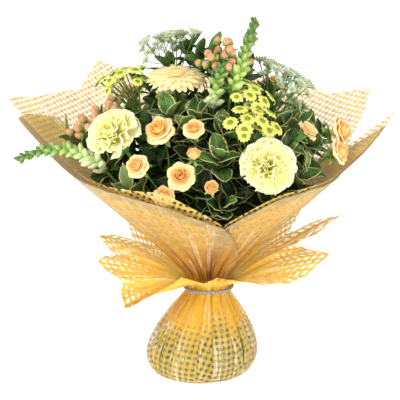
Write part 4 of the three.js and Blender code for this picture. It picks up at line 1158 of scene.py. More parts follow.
class Green:
    """A stem with what grows on it: its line, its few straight steps as in the solid, and its skin."""

    def __init__(self, name, end, arrival, radius, tip, woody=False):
        self.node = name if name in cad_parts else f"{name}_stem"
        self.name, self.solid, self.random = name, solid_points(self.node), draws(name)
        place = NECK_PLACES[name]
        start = NECK + place
        length = np.linalg.norm(end - start)
        leaving = unit(neck_slope(place, SPREAD))
        routes = [
            [start, start + leaving * pull * length, end - arrival * ARRIVAL * length, end] for pull in PULLS
        ]
        thirds = np.array([bezier(route, 4)[1] for route in routes])
        near = (np.linalg.norm(thirds[:, None] - self.solid, axis=-1) < SAME_STEM).sum(1)
        route = routes[int(np.argmax(near))]
        coarse = bezier(route, 4)
        self.end, self.axis = end, unit(coarse[-1] - coarse[-2])
        foot = start + neck_slope(place, -SPREAD) * (STEM_FOOT - NECK[2])
        low = foot + (start - foot) * np.linspace(0, 0.9, 6)[:, None]
        self.upper = bezier(route, 30)
        line = np.concatenate([low, self.upper])
        share = np.linspace(0, 1, len(line))
        thick = radius + (tip - radius) * share + 0.12 * np.sin(share * 40 + len(name))
        self.skin = Skin()
        self.wood = "woody_stem" if woody else "green_stem"
        self.skin.add(tube(line, thick, 9), self.wood)

    def stalks(self, lines, radius, finish="green_stem", sides=5):
        self.skin.add(tube(np.asarray(lines), radius, sides), finish)

    def leaves(self, root, along, face, finish, length, width, scale, tones):
        """Leaves at their roots, kept inside the wraps; tones gives a range and what is added to a draw."""
        phase = self.random.uniform(0, 6, len(scale))
        shape = blade(length * scale, width * scale, phase, 7, 5)
        leaves = inside_wraps(put(shape, leaf_frames(along, face), root))
        tone = self.random.uniform(*tones[:2], len(scale)) + tones[2]
        self.skin.add_sheet(leaves, sizes()["leaf"], finish, tone)

    def low_leaves(self, finish, length, width, low=0.36, high=0.8):
        """Leaves low on the stem fill the wraps behind the flowers: a golden angle apart, leaning out."""
        count = sizes()["filler"]
        at = np.linspace(low, high, count) * (len(self.upper) - 1)
        along = lambda line: np.stack([np.interp(at, np.arange(len(line)), k) for k in line.T], -1)
        root, way = along(self.upper), unit(along(np.diff(self.upper, axis=0)))
        angle = np.radians(np.arange(count) * GOLDEN + self.random.uniform(0, 360))
        spread = np.radians(self.random.uniform(38, 66, count))
        along = np.einsum("nij,nj->ni", facing(way), opened(angle, np.sin(spread), np.cos(spread)))
        scale = self.random.uniform(0.8, 1.15, count)
        self.leaves(root, along, way, finish, length, width, scale, LOW_TONES)

    def sprig(self, place, finish, length, width, count=8):
        """A twig from the stem out to a place, with leaves that open wider the lower they sit."""
        root, tip = self.upper[15], from_neck(place)
        line = inside_wraps(through([root, root + (tip - root) * 0.55 - direction(*place[:2]) * 4, tip], 12))
        self.stalks([line], 1.1, self.wood, 6)
        axis = unit(line[-1] - line[-3])
        share = np.linspace(0, 1, count)
        spread = np.radians(88 - 56 * share)
        angle = np.radians(np.arange(count) * GOLDEN + self.random.uniform(0, 360))
        along = opened(angle, np.sin(spread), np.cos(spread)) @ facing(axis).T
        scale = self.random.uniform(0.85, 1.1, count) * (1.05 - 0.25 * share)
        root = line[-1] - axis * (SPRIG_LENGTH * (1 - share) + 1)[:, None]
        # Painted shade: the lower the sprig, the more is added to its leaves' tones, and the darker they are.
        shade = 0.9 * np.clip((258 - place[2]) / 60, 0, 1)
        self.leaves(root, along, axis, finish, length, width, scale, (0, 0.8, shade))

    def build(self, slot, *low):
        """The piece, after its low leaves where they are given."""
        if low:
            self.low_leaves(*low)
        self.skin.build(self.node, slot)


# Sprigs among the topmost heads and behind the roses: turn, lean, reach.
HIGH_SPRIGS = [
    (-165, 9, 322), (170, 6, 326), (90, 9, 306), (44, 7, 286), (-140, 15, 312), (150, 15, 306),
    (115, 19, 288), (-128, 22, 296), (-158, 13, 338), (-50, 15, 266), (-16, 12, 262), (14, 16, 248),
]


def bloom_spots():
    """The places and radii of all the blooms and patches of heads, which sprigs must leave free."""
    spots = [(from_neck(c[0]), c[1]) for c in CARNATIONS.values()]
    spots += [(from_neck(r[0]), r[1]) for roses in ROSE_SPRAYS.values() for r in roses.values()]
    spots += [(from_neck(GERBERA_PLACE) + (k, -6, 6), 44) for k in (-8, 8)]
    spots += [(from_neck(c[0]), c[1] * 0.7) for c in SPRAYS.values()]
    return np.array([s[0] for s in spots]), np.array([s[1] for s in spots])


def sprig_places():
    """Places a golden angle apart over the dome, each as high as the blooms round it allow; each is
    given to the leafy stem that runs nearest to it."""
    centres, radii = bloom_spots()
    found = {name: [] for name in WHORLS if not name.startswith("rose")}
    aims = {name: direction(*AIMS[name][:2]) for name in found}
    for i in range(SPRIGS):
        turn, lean = (i * GOLDEN) % 360, 4 + 37 * ((i + 0.5) / SPRIGS) ** 0.5
        for reach in range(262, 150, -10):
            gap = np.linalg.norm(centres - from_neck((turn, lean, reach)), axis=1) - radii
            if gap.min() > SPRIG_ROOM:
                break
        near = max(aims, key=lambda name: aims[name] @ direction(turn, lean))
        found[near].append((turn, lean, reach))
    for place in HIGH_SPRIGS:
        near = max(("leaves_upper", "ruscus_middle", "ruscus_left", "ruscus_back"),
                   key=lambda name: aims[name] @ direction(*place[:2]))
        found[near].append(place)
    return found


def inside_wraps(points):
    """Points drawn in towards the neck's axis where they would pass the cone of the film."""
    x, y, z = points[..., 0] - NECK[0], points[..., 1], points[..., 2]
    r = np.hypot(x, y)
    turn = np.degrees(np.arctan2(x, -y))
    room = np.hypot(WRAP_NECK, np.maximum(z - NECK[2], 0) * wrap_slope(turn))
    room = room - WRAP_ROOM - fold_depth(turn, z)
    share = np.minimum(1, room / np.maximum(r, 1))
    return np.stack([x * share + NECK[0], y * share, z], -1)


# ---- leaves ----


# How far a leaf's halves rise from its midrib, and how far its tip bends down, as shares of its size.
LEAF_FOLD, LEAF_DROOP = 0.16, 0.12


def blade(length, width, phase, rows=11, columns=7, wave=0.05, blunt=0.55):
    """A leaf along +X: its half-width is sin(pi v^0.85)^blunt, its halves rise from the midrib by the
    fold, its margin waves, and it bends down as v squared."""
    length, width, phase = (np.asarray(k, float).reshape(-1, 1, 1) for k in (length, width, phase))
    v, u = patch(rows, columns)
    side = 1 - 2 * u
    half = np.sin(np.pi * np.clip(v, 0.006, 0.994) ** 0.85) ** blunt
    rise = LEAF_FOLD * np.abs(side) ** 1.3 * half
    rise = rise + wave * np.cos(np.pi * (v - 0.42) / 0.34) * side * np.abs(side) * half
    rise = rise + 0.05 * np.sin(17 * v + phase) * side**2 * half
    y = side * half * width / 2
    return np.stack([length * v + 0 * y, y, width * rise - LEAF_DROOP * v * v * length], -1)


def leaf_frames(along, face):
    """Rotations whose columns are the way the leaf runs, its side and its face."""
    x = unit(along)
    y = unit(np.cross(face, x))
    return np.stack([x, y, np.cross(x, y)], -1)


class Draws:
    """The same repeatable draws as the solids' own source makes: a 32-bit counter, well stirred."""

    def __init__(self, seed):
        self.state = seed
        self.next()

    def next(self):
        self.state = (self.state + 0x6D2B79F5) & 0xFFFFFFFF
        t = self.state
        t = ((t ^ (t >> 15)) * (t | 1)) & 0xFFFFFFFF
        t ^= (t + (((t ^ (t >> 7)) * (t | 61)) & 0xFFFFFFFF)) & 0xFFFFFFFF
        return ((t ^ (t >> 14)) & 0xFFFFFFFF) / 4294967296


BENDS, ASIDES = (0, -12, 12, -24, 24, -38, 38), (0, 16, -16, 34, -34)
Whorl = namedtuple("Whorl", "leaves start length width turn low high", defaults=(0, 74, 24))
WHORLS = {
    "leaves_far_left": Whorl(7, 60, 42, 24), "leaves_lower_left": Whorl(7, 54, 42, 25),
    "leaves_upper": Whorl(8, 54, 40, 27, 40, 84), "leaves_front": Whorl(6, 40, 44, 26),
    "leaves_upper_right": Whorl(7, 54, 38, 25), "leaves_lower_right": Whorl(7, 56, 40, 26),
    "leaves_back_left": Whorl(7, 54, 42, 26), "leaves_back_right": Whorl(7, 54, 42, 26),
    "ruscus_left": Whorl(7, 90, 50, 23, 0, 60), "ruscus_middle": Whorl(7, 90, 50, 24, 0, 60),
    "ruscus_back": Whorl(7, 110, 54, 25, 0, 66),
}
WHORLS |= {
    f"rose_spray_{side}": Whorl(3, 40, 44, 25, turn, 66, 50)
    for side, turn in (("left", -34), ("front", -8), ("right", 80), ("back", 160))
}


def whorl_sizes():
    """Each leaf's size, drawn in the order in which the solids' leaves are."""
    random = Draws(SEED)
    return {
        name: [(0.88 + 0.2 * random.next()) * (1 - 0.2 * i / (shape.leaves - 1)) for i in range(shape.leaves)]
        for name, shape in WHORLS.items()
    }


WHORL_SIZES = whorl_sizes()


def whorl(green, finish, blunt):
    """Leaves round the last stretch of a stem. Each is tried as the solid's were, with every bend and
    turn aside, and takes the way whose outline meets the most corners of the solid."""
    shape = WHORLS[green.name]
    tip, wave = (0.72, 0.02) if green.name.startswith("ruscus") else (0.76, 0.05)
    high, low = LEAF_FOLD + wave, LEAF_FOLD - wave
    outline = [0.42, 0.5, high], [tip, 0.42, low], [1, 0, 0], [tip, -0.42, high], [0.42, -0.5, low]
    outline = np.array(outline)
    axis = green.axis
    side = unit(np.cross(UP, axis)) if abs(axis[2]) < 0.9 else np.array([1.0, 0, 0])
    kept = []
    for i, full in enumerate(WHORL_SIZES[green.name]):
        share = i / (shape.leaves - 1)
        root = green.end - axis * (2 + shape.start * (1 - share))
        spread = np.radians(shape.low + (shape.high - shape.low) * share)
        out = about(axis, side, np.radians(shape.turn + i * GOLDEN))
        along = axis * np.cos(spread) + out * np.sin(spread)
        best = (2, None)
        for scale, aside, bend in product((full, full * 0.75), ASIDES, BENDS):
            way = about(axis, along, np.radians(aside))
            turn = leaf_frames(about(unit(np.cross(axis, way)), way, np.radians(bend)), axis)
            local = outline * (shape.length * scale, shape.width * scale, shape.width * scale)
            local[:, 2] -= LEAF_DROOP * outline[:, 0] ** 2 * (shape.length * scale)
            both = np.concatenate([local + (0, 0, 0.35), local - (0, 0, 0.35)])
            met = int((gap_to(both @ turn.T + root, green.solid) < SAME_LEAF).sum())
            if met > best[0]:
                best = (met, (root, turn, scale))
        kept += [best[1]] if best[1] else []
    if kept:
        roots, frames, scale = (np.array(k) for k in zip(*kept))
        phase = green.random.uniform(0, 6, len(scale))
        leaves = blade(shape.length * scale, shape.width * scale, phase, wave=wave, blunt=blunt)
        tones = green.random.uniform(0, 1, len(scale))
        green.skin.add_sheet(put(leaves, frames, roots), sizes()["leaf"], finish, tones)


def plain_green(name, woody=False):
    """A main stem that ends among its own leaves or branches, along its aim."""
    return Green(name, from_neck(AIMS[name]), direction(*AIMS[name][:2]), sizes()["stem"], 1.8, woody)


def of_kind(table, kind):
    """The names in a table that start with a word."""
    return [name for name in table if name.startswith(kind)]


def leafy_stems(kind, finish, low, sprig, blunt=0.55, woody=False):
    """Stems with a whorl of leaves, low leaves and sprigs, all of one finish; lengths and widths."""
    places = sprig_places()
    for name in of_kind(WHORLS, kind):
        green = plain_green(name, woody)
        whorl(green, finish, blunt)
        green.low_leaves(finish, *low)
        for place in places[name]:
            green.sprig(place, finish, *sprig)
        green.build(finish)


class BOUQUET_OT_leaves(bpy.types.Operator):
    """Make the sprigs of variegated leaves"""

    bl_idname = "bouquet.leaves"
    bl_label = "Variegated Leaves"

    def execute(self, context):
        leafy_stems("leaves", "variegated_leaf", (44, 27), (43, 31), woody=True)
        return {"FINISHED"}


class BOUQUET_OT_broad_leaves(bpy.types.Operator):
    """Make the stems of broad dark leaves"""

    bl_idname = "bouquet.broad_leaves"
    bl_label = "Broad Leaves"

    def execute(self, context):
        leafy_stems("ruscus", "dark_leaf", (52, 25), (46, 21), blunt=0.8)
        return {"FINISHED"}


# ---- roses ----

SEPAL = 0.5
ROSE_SPRAYS = {
    "rose_spray_left": {
        "rose_large": ((-35, 25, 272), 23, (-25, 48)), "rose_left": ((-36, 38, 262), 18, (-30, 60)),
        "rose_low": ((-25, 40.5, 218), 16, (-10, 50)),
    },
    "rose_spray_front": {
        "rose_upper": ((-11, 23, 272), 16, (-6, 50)), "rose_opening": ((-9, 30.5, 256), 13, (-4, 26)),
        "rose_centre": ((-14, 38, 250), 21, (-8, 66)), "rose_small": ((1, 40, 238), 13, (2, 62)),
    },
    "rose_spray_right": {
        "rose_side": ((88, 39, 290), 24, (72, 74)), "rose_side_low": ((74, 42, 277), 19, (66, 66)),
    },
    "rose_spray_back": {
        "rose_back_top": ((120, 21, 300), 21, (120, 21)), "rose_back": ((152, 29.5, 266), 22, (152, 29.5)),
        "rose_back_left": ((178, 29.5, 262), 20, (178, 29.5)),
    },
}


def rose(radius, random, rings, closed):
    """Rings of petals from the outside to the heart. The outer petals rise fast and then lie open, roll
    back at the rim and have a faint point; the inner ones stand. One side of each petal stands further
    out than the other, so that the petals wind into each other."""
    counts = (6, 6, 5, 4, 3, 2)[6 - rings:]
    ring = np.repeat(np.arange(rings), counts) + 6 - rings
    place = np.concatenate([(np.arange(c) + 0.5 * (i % 2)) / c for i, c in enumerate(counts)])
    n = len(ring)
    pick = lambda values: np.array(values)[ring].reshape(-1, 1, 1)
    jitter = lambda amount: random.uniform(-amount, amount, (n, 1, 1))
    rim = pick([0.98, 0.8, 0.58, 0.4, 0.25, 0.13]) * (1 - 0.1 * closed) + jitter(0.03)
    top = pick([-0.02, 0.2, 0.36, 0.46, 0.5, 0.48]) + 0.14 * closed + jitter(0.035)
    open_ = pick([1.0, 0.8, 0.55, 0.3, 0.1, 0.0]) * (1 - 0.5 * closed)
    wide = np.radians(pick([46, 46, 48, 58, 74, 100]))
    v, u = patch(13, 13)
    side = 2 * u - 1
    angle = (place * 2 * np.pi).reshape(-1, 1, 1) + ring.reshape(-1, 1, 1) * 0.7 + jitter(0.16) + side * wide
    steep = 0.1 + 0.9 * np.sin(np.pi / 2 * np.clip(v * 1.15, 0, 1)) ** 0.8
    r = rim * (steep * (1 - open_) + (0.1 + 0.9 * v) * open_)
    r = r * (1 - (0.2 + 0.04 * open_) * np.abs(side) ** 2.6 * v) * (1 + 0.09 * side * (1 - 0.3 * v))
    r = r * (1 + 0.06 * open_ * np.exp(-((side / 0.2) ** 2)) * v**6)
    rise = v**1.2 * (1 - open_) + np.sin(np.pi / 2 * np.clip(v * 1.35, 0, 1)) * open_
    z = -0.6 + (top + 0.6) * rise * (1 - 0.10 * np.abs(side) ** 2.2)
    curl = smooth(v, 0.7, 1.0)
    r = r - 0.07 * open_ * curl**2
    z = z - 0.13 * open_ * curl**2 - 0.07 * open_ * np.abs(side) ** 3 * v
    z = z + 0.06 * np.exp(-((side / 0.28) ** 2)) * v**5 + jitter(0.05) * side * v
    z = z + 0.02 * np.sin(5 * side + 5 * jitter(1.0)) * v**2
    fit = np.minimum(1, 1.0 / np.maximum(r, 1e-6))
    grid = np.stack([-r * fit * np.sin(angle), r * fit * np.cos(angle), z + 0 * r], -1) * radius
    return grid, ring / 5.0


def star(radius, count, width, lift):
    """Narrow pointed blades round Z, each along +X, curling by the lift."""
    v, u = patch(4, 3)
    side = 1 - 2 * u
    half = np.sin(np.pi * np.clip(v * 0.75 + 0.2, 0, 0.985)) ** 0.8 * width / 2
    rise = radius * lift * v**1.6 + 0.12 * width * side**2
    sheet = np.stack([radius * (0.12 + 0.88 * v), side * half, rise], -1)
    return round_axis(sheet, np.arange(count) * 360 / count)


def bloom(node, finish, petals, share, turn, place, random):
    """A bloom as one piece: its petals, each with a tone of its own and its share of the way inwards."""
    skin = Skin()
    tones = random.uniform(0, 1, len(share))
    skin.add_sheet(lay(petals, turn, from_neck(place)), sizes()["petal"], finish, tones, share)
    skin.build(node, finish)


class BOUQUET_OT_roses(bpy.types.Operator):
    """Make the spray roses on their forked stems"""

    bl_idname = "bouquet.roses"
    bl_label = "Roses"

    def execute(self, context):
        stem = sizes()["stem"]
        v = np.linspace(0, 1, 7)
        hip = 0.10 + 0.22 * np.sin(np.pi * v * 0.8) ** 0.8
        for name, roses in ROSE_SPRAYS.items():
            aim = direction(*AIMS[name][:2])
            green = Green(name, from_neck(AIMS[name]), aim, stem, stem)
            for node, (place, radius, face) in roses.items():
                front = direction(*face)
                turn, small = facing(front), radius * 0.8
                seat = from_neck(place) - front * (radius * 0.63 + 0.3 + small * 0.1)
                foot = seat - front * small * 0.45
                half = green.end + (foot - green.end) * 0.55 - front * 6
                green.stalks([through([green.end - aim * 2, half, foot], 14)], 1.6, sides=7)
                sepals, tones = star(small, 5, small * 0.42, -0.25), green.random.uniform(0, 1, 5)
                green.skin.add_sheet(lay(sepals, turn, seat), SEPAL, "sepal", tones)
                green.skin.add_round(small * hip, small * (0.5 * v - 0.48), 9, turn, seat)
                random, closed = draws(node), radius < 14
                petals, share = rose(radius, random, 5 if closed else 6, float(closed))
                bloom(node, "rose_petal", petals, share, turn, place, random)
            whorl(green, "dark_leaf", blunt=0.75)
            green.build("green_stem", "dark_leaf", 40, 22, 0.1, 0.9)
        return {"FINISHED"}


# ---- carnations ----

CARNATIONS = {
    "carnation_left": ((-55, 33, 290), 38, (-40, 42), 8, "lemon_petal"),
    "carnation_right": ((29, 37.5, 264), 38, (14, 58), 8, "lemon_petal"),
    "carnation_back": ((-152, 27, 270), 35, (-152, 27), 8, "lemon_petal"),
    "mini_carnation": ((62, 32, 284), 16, (70, 44), 5, "apricot_petal"),
}
CUP_DEPTH = 0.53


def carnation(radius, random, petals):
    """Fan-shaped petals a golden angle apart rise from the cup. Each has a narrow claw and a broad,
    waved and toothed fan that bends out; the outer ones lie low and the inner ones stand and twist."""
    k = np.arange(petals)
    s = (k / (petals - 1)).reshape(-1, 1, 1)
    jitter = lambda amount: random.uniform(-amount, amount, (petals, 1, 1))
    v, u = patch(10, 19)
    side = 2 * u - 1
    w = smooth(v, 0.25, 1.0)
    long = (1.12 - 0.17 * s + jitter(0.05)) * (1 - 0.10 * side**2 * w)
    long = long * (1 + 0.035 * np.abs((side * 5.5 + jitter(1)) % 1 - 0.5) * 2 * w)
    half = (0.05 + (0.47 - 0.12 * s) * w) * (1 + jitter(0.12))
    phase, second = jitter(3.1), jitter(3.1)
    frill = 0.07 * np.sin(5.5 * side + phase) + 0.032 * np.sin(13 * side + second)
    frill = frill + 0.07 * np.sin(2.6 * side - phase)
    bend = 0.10 + 0.16 * (1 - s) + jitter(0.05)
    x = long * v
    z = -bend * v**2 + frill * smooth(v, 0.35, 1.0) ** 1.3 * (0.8 + 0.5 * s)
    y = side * half * (1 - 0.12 * np.abs(frill) / 0.1 * w)
    twist = random.uniform(-1, 1, petals) * np.radians(10 + 50 * k / (petals - 1))
    lean = np.radians(66 - 60 * (k / (petals - 1)) ** 0.8 + random.uniform(-8, 8, petals))
    angle = np.radians(k * GOLDEN) + random.uniform(-0.2, 0.2, petals)
    out = opened(angle, 1, 0)
    cos, sin = np.cos(lean)[:, None], np.sin(lean)[:, None]
    along, face = out * sin + UP * cos, unit(UP * sin - out * cos)
    across = np.cross(face, along)
    cos, sin = np.cos(twist)[:, None], np.sin(twist)[:, None]
    turn = np.stack([along, across * cos - face * sin, face * cos + across * sin], -1)
    grid = put(np.stack([x, y + 0 * x, z + 0 * x], -1), turn, np.tile((0, 0, -0.5), (petals, 1)))
    fit = np.minimum(1, 1.0 / np.maximum(np.hypot(grid[..., 0], grid[..., 1]), 1e-6))
    grid[..., :2] *= fit[..., None]
    return grid * radius, k / (petals - 1)


class BOUQUET_OT_carnations(bpy.types.Operator):
    """Make the carnations, each with its green cup and stem"""

    bl_idname = "bouquet.carnations"
    bl_label = "Carnations"

    def execute(self, context):
        stem = sizes()["stem"]
        v = np.linspace(0, 1, 12)
        outline = np.interp(v, [0, 0.1, 0.3, 0.75, 0.95, 1], [0.3, 0.6, 0.8, 0.95, 1.05, 0.9])
        for name, (place, radius, face, cup, finish) in CARNATIONS.items():
            front = direction(*face)
            turn = facing(front)
            seat = from_neck(place) - front * (radius * CUP_DEPTH + 0.3)
            green = Green(name, seat - front * cup * 3, front, stem, stem)
            green.skin.add_round(outline * cup, cup * (3 * v - 3), 14, turn, seat)
            teeth = star(cup * 1.5, 5, cup * 0.8, 0.5)
            green.skin.add_sheet(lay(teeth, turn, seat - front * cup * 0.4), SEPAL, "sepal")
            green.build("green_stem", "dark_leaf", 42, 15, 0.4, 0.75)
            random = draws(name)
            petals, share = carnation(radius, random, 38 if radius > 20 else 18)
            bloom(f"{name}_bloom", finish, petals, share, turn, place, random)
        return {"FINISHED"}


# ---- the gerbera ----

GERBERA_PLACE, GERBERA_RADIUS = (-95, 8.5, 305), 43
# Its rounds of rays: count, share of the radius, lift, droop, height.
GERBERA_ROUNDS = (
    (26, 1.0, 0.5, 5.0, -1.0), (26, 0.93, 3.0, 4.5, 0.6), (22, 0.66, 4.5, 2.0, 1.2),
    (24, 0.42, 4.5, 0.8, 1.6),
)


def rays(radius, count, foot, width, lift, droop, random, grid, blunt, loose):
    """Strap petals round Z: from the foot to the radius, hollow across, lifted and then drooping."""
    v, u = patch(*grid)
    side = 1 - 2 * u
    long = radius * (1 + random.uniform(-0.05, 0.03, (count, 1, 1)))
    half = width / 2 * (0.45 + 0.55 * np.sin(np.pi * np.clip(v * 0.8 + 0.05, 0, 1))) * (1 - v**9) ** blunt
    x = foot + (long - foot) * v
    z = lift * v - droop * v**2.5 + 0.10 * width * side**2 * np.sin(np.pi * v)
    z = z + random.uniform(-loose, loose, (count, 1, 1)) * radius * v
    sheet = np.stack([x, side * np.maximum(half, 0.02 * width) + 0 * x, z + 0 * x], -1)
    angle = np.arange(count) * 360 / count + random.uniform(-0.12, 0.12, count) * 360 / count
    return round_axis(sheet, angle)


def florets(count, radius, height, thick, random, rise):
    """Small pointed pegs a golden angle apart over a disc, leaning outwards towards its rim."""
    i = np.arange(count)
    out = np.sqrt((i + 0.5) / count)
    angle = np.radians(i * GOLDEN)
    foot = opened(angle, radius * out, height(out))
    way = unit(opened(angle, out, 1) * (0.8, 0.8, 1))
    long = (rise(out) * random.uniform(0.8, 1.2, count))[:, None]
    line = np.stack([foot - way * thick, foot + way * long * 0.6, foot + way * long], 1)
    return tube(line, np.array([1, 0.9, 0.25]) * thick, 5), out


class BOUQUET_OT_gerbera(bpy.types.Operator):
    """Make the gerbera: four rounds of rays and the eye"""

    bl_idname = "bouquet.gerbera"
    bl_label = "Gerbera"

    def execute(self, context):
        front, face = direction(4, 22), direction(4, 13)
        middle, turn = from_neck(GERBERA_PLACE), facing(face)
        seat = middle - front * (GERBERA_RADIUS * 0.26 + 0.3)
        green = Green("gerbera", seat, front, 2.5, 3.0)
        v = np.linspace(0, 1, 9)
        green.skin.add_round(3 + 12 * v**0.8, 10 * v - 1, 18, turn, seat)
        green.build("green_stem", "dark_leaf", 50, 24, 0.35, 0.78)
        random, skin = draws("gerbera"), Skin()
        for count, share, lift, droop, height in GERBERA_ROUNDS:
            radius, width = GERBERA_RADIUS * share, 9.4 * share**0.7
            petals = rays(radius, count, 8, width, lift, droop, random, (9, 5), 0.45, 0.055)
            petals[..., 2] += height
            tones, petals = random.uniform(0, 1, count), lay(petals, turn, middle - face * 2)
            skin.add_sheet(petals, sizes()["petal"], "gerbera_petal", tones, (1 - share) * 1.5)
        v = np.linspace(0, 1, 6)
        skin.add_round(4 + 8 * v, -8 + 8 * v, 20, turn, middle)
        skin.build("gerbera_bloom", "gerbera_petal")
        skin = Skin()
        eye = middle + face * (GERBERA_RADIUS * 0.05 + 0.3)
        outline = [11, 11.2, 10, 7, 3.5, 0.4], [0, 1.4, 2.9, 3.0, 2.0, 1.4]
        skin.add_round(*outline, 28, turn, eye, "gerbera_disc", (0.2, 0.6, 0))
        pegs, out = florets(170, 10.6, lambda o: 1.4 + 1.8 * smooth(o, 0.2, 0.7) - 1.6 * smooth(o, 0.85, 1),
                            0.45, random, lambda o: 0.8 + 3.4 * smooth(o, 0.45, 0.95))
        skin.add(lay(pegs, turn, eye), "gerbera_disc", tone=(random.uniform(0, 1, 170), out, 0))
        skin.build("gerbera_eye", "gerbera_disc")
        return {"FINISHED"}


# ---- sprays of small heads ----

NUDGES = (0, 0.35, -0.35, 0.7, -0.7)
SPRAYS = {
    "berries_left": ((-78, 33, 302), 40, 11, 6, 1, 20), "berries_top": ((60, 4, 342), 27, 11, 30, 1, 0),
    "berries_back": ((-128, 30, 304), 26, 6, 6, 1, 0), "daisies_right": ((54, 13, 300), 42, 12, 10, 2, 0),
    "daisies_lower": ((32, 25, 285), 38, 10, 6, 1.5, 40), "daisies_left": ((-96, 22, 330), 36, 10, 8, 0.8, 0),
    "daisies_back": ((172, 16, 318), 36, 8, 6, 1.2, 0),
    "astrantia_left": ((-134, 12.5, 356), 44, 8, 6, 1.2, 0),
    "astrantia_right": ((100, 20, 322), 46, 11, 6, 1.4, 0),
    "astrantia_back": ((133, 32, 292), 32, 6, 6, 1, 0),
}
# For each kind: the head's base and its top, as heights under and over its seat for a radius of one.
HEADS = {"daisies": (0.3, 0.2), "berries": (6.25, 6.5), "astrantia": (0.34, 0.42)}


def spray(green, radii):
    """Heads a golden angle apart over a round patch; each keeps the nudge at which its solid stands.
    Returns the seats, the ways they face, the radii and the stalks."""
    centre, wide, count, dome, tilt, spin = SPRAYS[green.name]
    kind = green.name.split("_")[0]
    hold, top = HEADS[kind]
    middle = from_neck(centre)
    front = direction(centre[0], centre[1] * tilt)
    turn = facing(front, spin)
    kept = []
    for i in range(count):
        scale = 1.0 if kind == "berries" else radii[i]
        out = np.sqrt((i + 0.4) / count)
        angle = np.radians(i * GOLDEN) + np.array(NUDGES)
        seat = opened(angle, wide * out, -dome * out**2) @ turn.T + middle
        way = unit(front + (seat - middle) * 0.6 / wide)
        gap = gap_to(seat + way * top * scale, green.solid)
        best = int(np.argmin(gap))
        if gap[best] < SAME_HEAD:
            root = green.end - green.axis * (1.5 + 3 * ((i * 5) % count))
            kept.append((seat[best], way[best], radii[i], root, seat[best] - way[best] * hold * scale))
    seats, ways, radius, roots, feet = (np.array(k) for k in zip(*kept))
    bent = roots + (feet - roots) * 0.55 - ways * np.linalg.norm(feet - roots, axis=-1, keepdims=True) * 0.05
    return seats, ways, radius, bezier([roots, bent, seats - ways * 0.4 * hold], 9)


def second_tier(green, seats, ways, drop, aside, radius):
    """More heads below the first ones, or above for a negative drop, each on a side stalk: their seats
    and ways."""
    n = len(seats)
    out = np.einsum("nij,nj->ni", facing(ways), opened(green.random.uniform(0, 2 * np.pi, n), 1, 0))
    spots = seats - ways * (drop * green.random.uniform(0.7, 1.3, n))[:, None] + out * aside
    face = unit(ways + out * 0.5)
    green.stalks(bezier([seats - ways * abs(drop) * 2.6, spots - face * abs(drop) * 0.7, spots], 6), radius)
    return spots, face


def branched(name, radii, stalk, tiers, woody=False):
    """A stem with its spray of heads on stalks, and further tiers of heads (drop, aside, stalk): the
    stem, all the seats and ways, and the radii of the first heads."""
    green = plain_green(name, woody)
    seats, ways, radius, lines = spray(green, radii)
    green.stalks(lines, stalk)
    found = [second_tier(green, seats, ways, *tier) for tier in tiers]
    return green, *(np.concatenate(k) for k in zip((seats, ways), *found)), radius


class BOUQUET_OT_daisies(bpy.types.Operator):
    """Make the sprays of lime daisies"""

    bl_idname = "bouquet.daisies"
    bl_label = "Daisies"

    def execute(self, context):
        thick, v = sizes()["petal"], np.linspace(0, 1, 6)
        cup, rises = np.array([0.08, 0.2, 0.3, 0.34]), np.array([-0.34, -0.26, -0.12, 0.03])
        for name in of_kind(SPRAYS, "daisies"):
            radii = [9 if i % 4 == 3 else 11.5 for i in range(12)]
            green, seats, ways, radius = branched(name, radii, 0.9, [(12, 11, 0.7)])
            random = green.random
            radius = np.concatenate([radius, random.uniform(6.5, 8.5, len(radius))])
            for seat, way, r in zip(seats, ways, radius):
                turn = facing(way, random.uniform(0, 360))
                r = r * random.uniform(0.96, 1.04)
                for count, share, lift in ((12, 1.0, 0.4), (10, 0.8, 1.4)):
                    petals = rays(r * share, count, r * 0.3, r * 0.44, lift, 1.2, random, (5, 3), 0.35, 0.06)
                    tones = random.uniform(0, 1, count)
                    green.skin.add_sheet(lay(petals, turn, seat), thick, "lime_daisy", tones, 1 - share)
                wide, high = r * 0.41 * np.cos(v * 1.5) ** 0.7, r * (0.02 + 0.22 * np.sin(v * 1.5))
                green.skin.add_round(wide, high, 12, turn, seat, "daisy_disc", (np.repeat(v, 12), 0, 0))
                green.skin.add_round(r * cup, r * rises, 10, turn, seat)
            green.build("lime_daisy", "dark_leaf", 40, 18)
        return {"FINISHED"}


class BOUQUET_OT_berries(bpy.types.Operator):
    """Make the sprays of coral berries in their green sepals"""

    bl_idname = "bouquet.berries"
    bl_label = "Berries"

    def execute(self, context):
        v = np.linspace(0, 1, 12)
        radius = 5.4 * np.sin(np.pi * np.clip(v, 0.012, 0.985) ** 0.92) ** 0.56
        body = turned(radius, 12.5 * (v - 0.5), 14)
        flat = np.stack(np.broadcast_arrays(np.arange(14) / 14, v[:, None]), -1)
        sepals = star(7.2, 5, 5.2, 0.35)
        sepals[..., 2] -= 5.6
        for name in of_kind(SPRAYS, "berries"):
            tiers = [(-11 if name == "berries_top" else 9, 7, 0.7)]
            green, seats, ways, _ = branched(name, [5.2] * 11, 0.95, tiers, woody=True)
            random, n = green.random, len(seats)
            turn = facing(ways, random.uniform(0, 360, n))
            green.skin.add(put(body, turn, seats), "coral_berry", flat, (random.uniform(0, 1, n), 0, 0))
            green.skin.add_sheet(lay(sepals, turn, seats), SEPAL, "sepal", random.uniform(0, 1, n * 5))
            green.build("coral_berry", "dark_leaf", 40, 20)
        return {"FINISHED"}


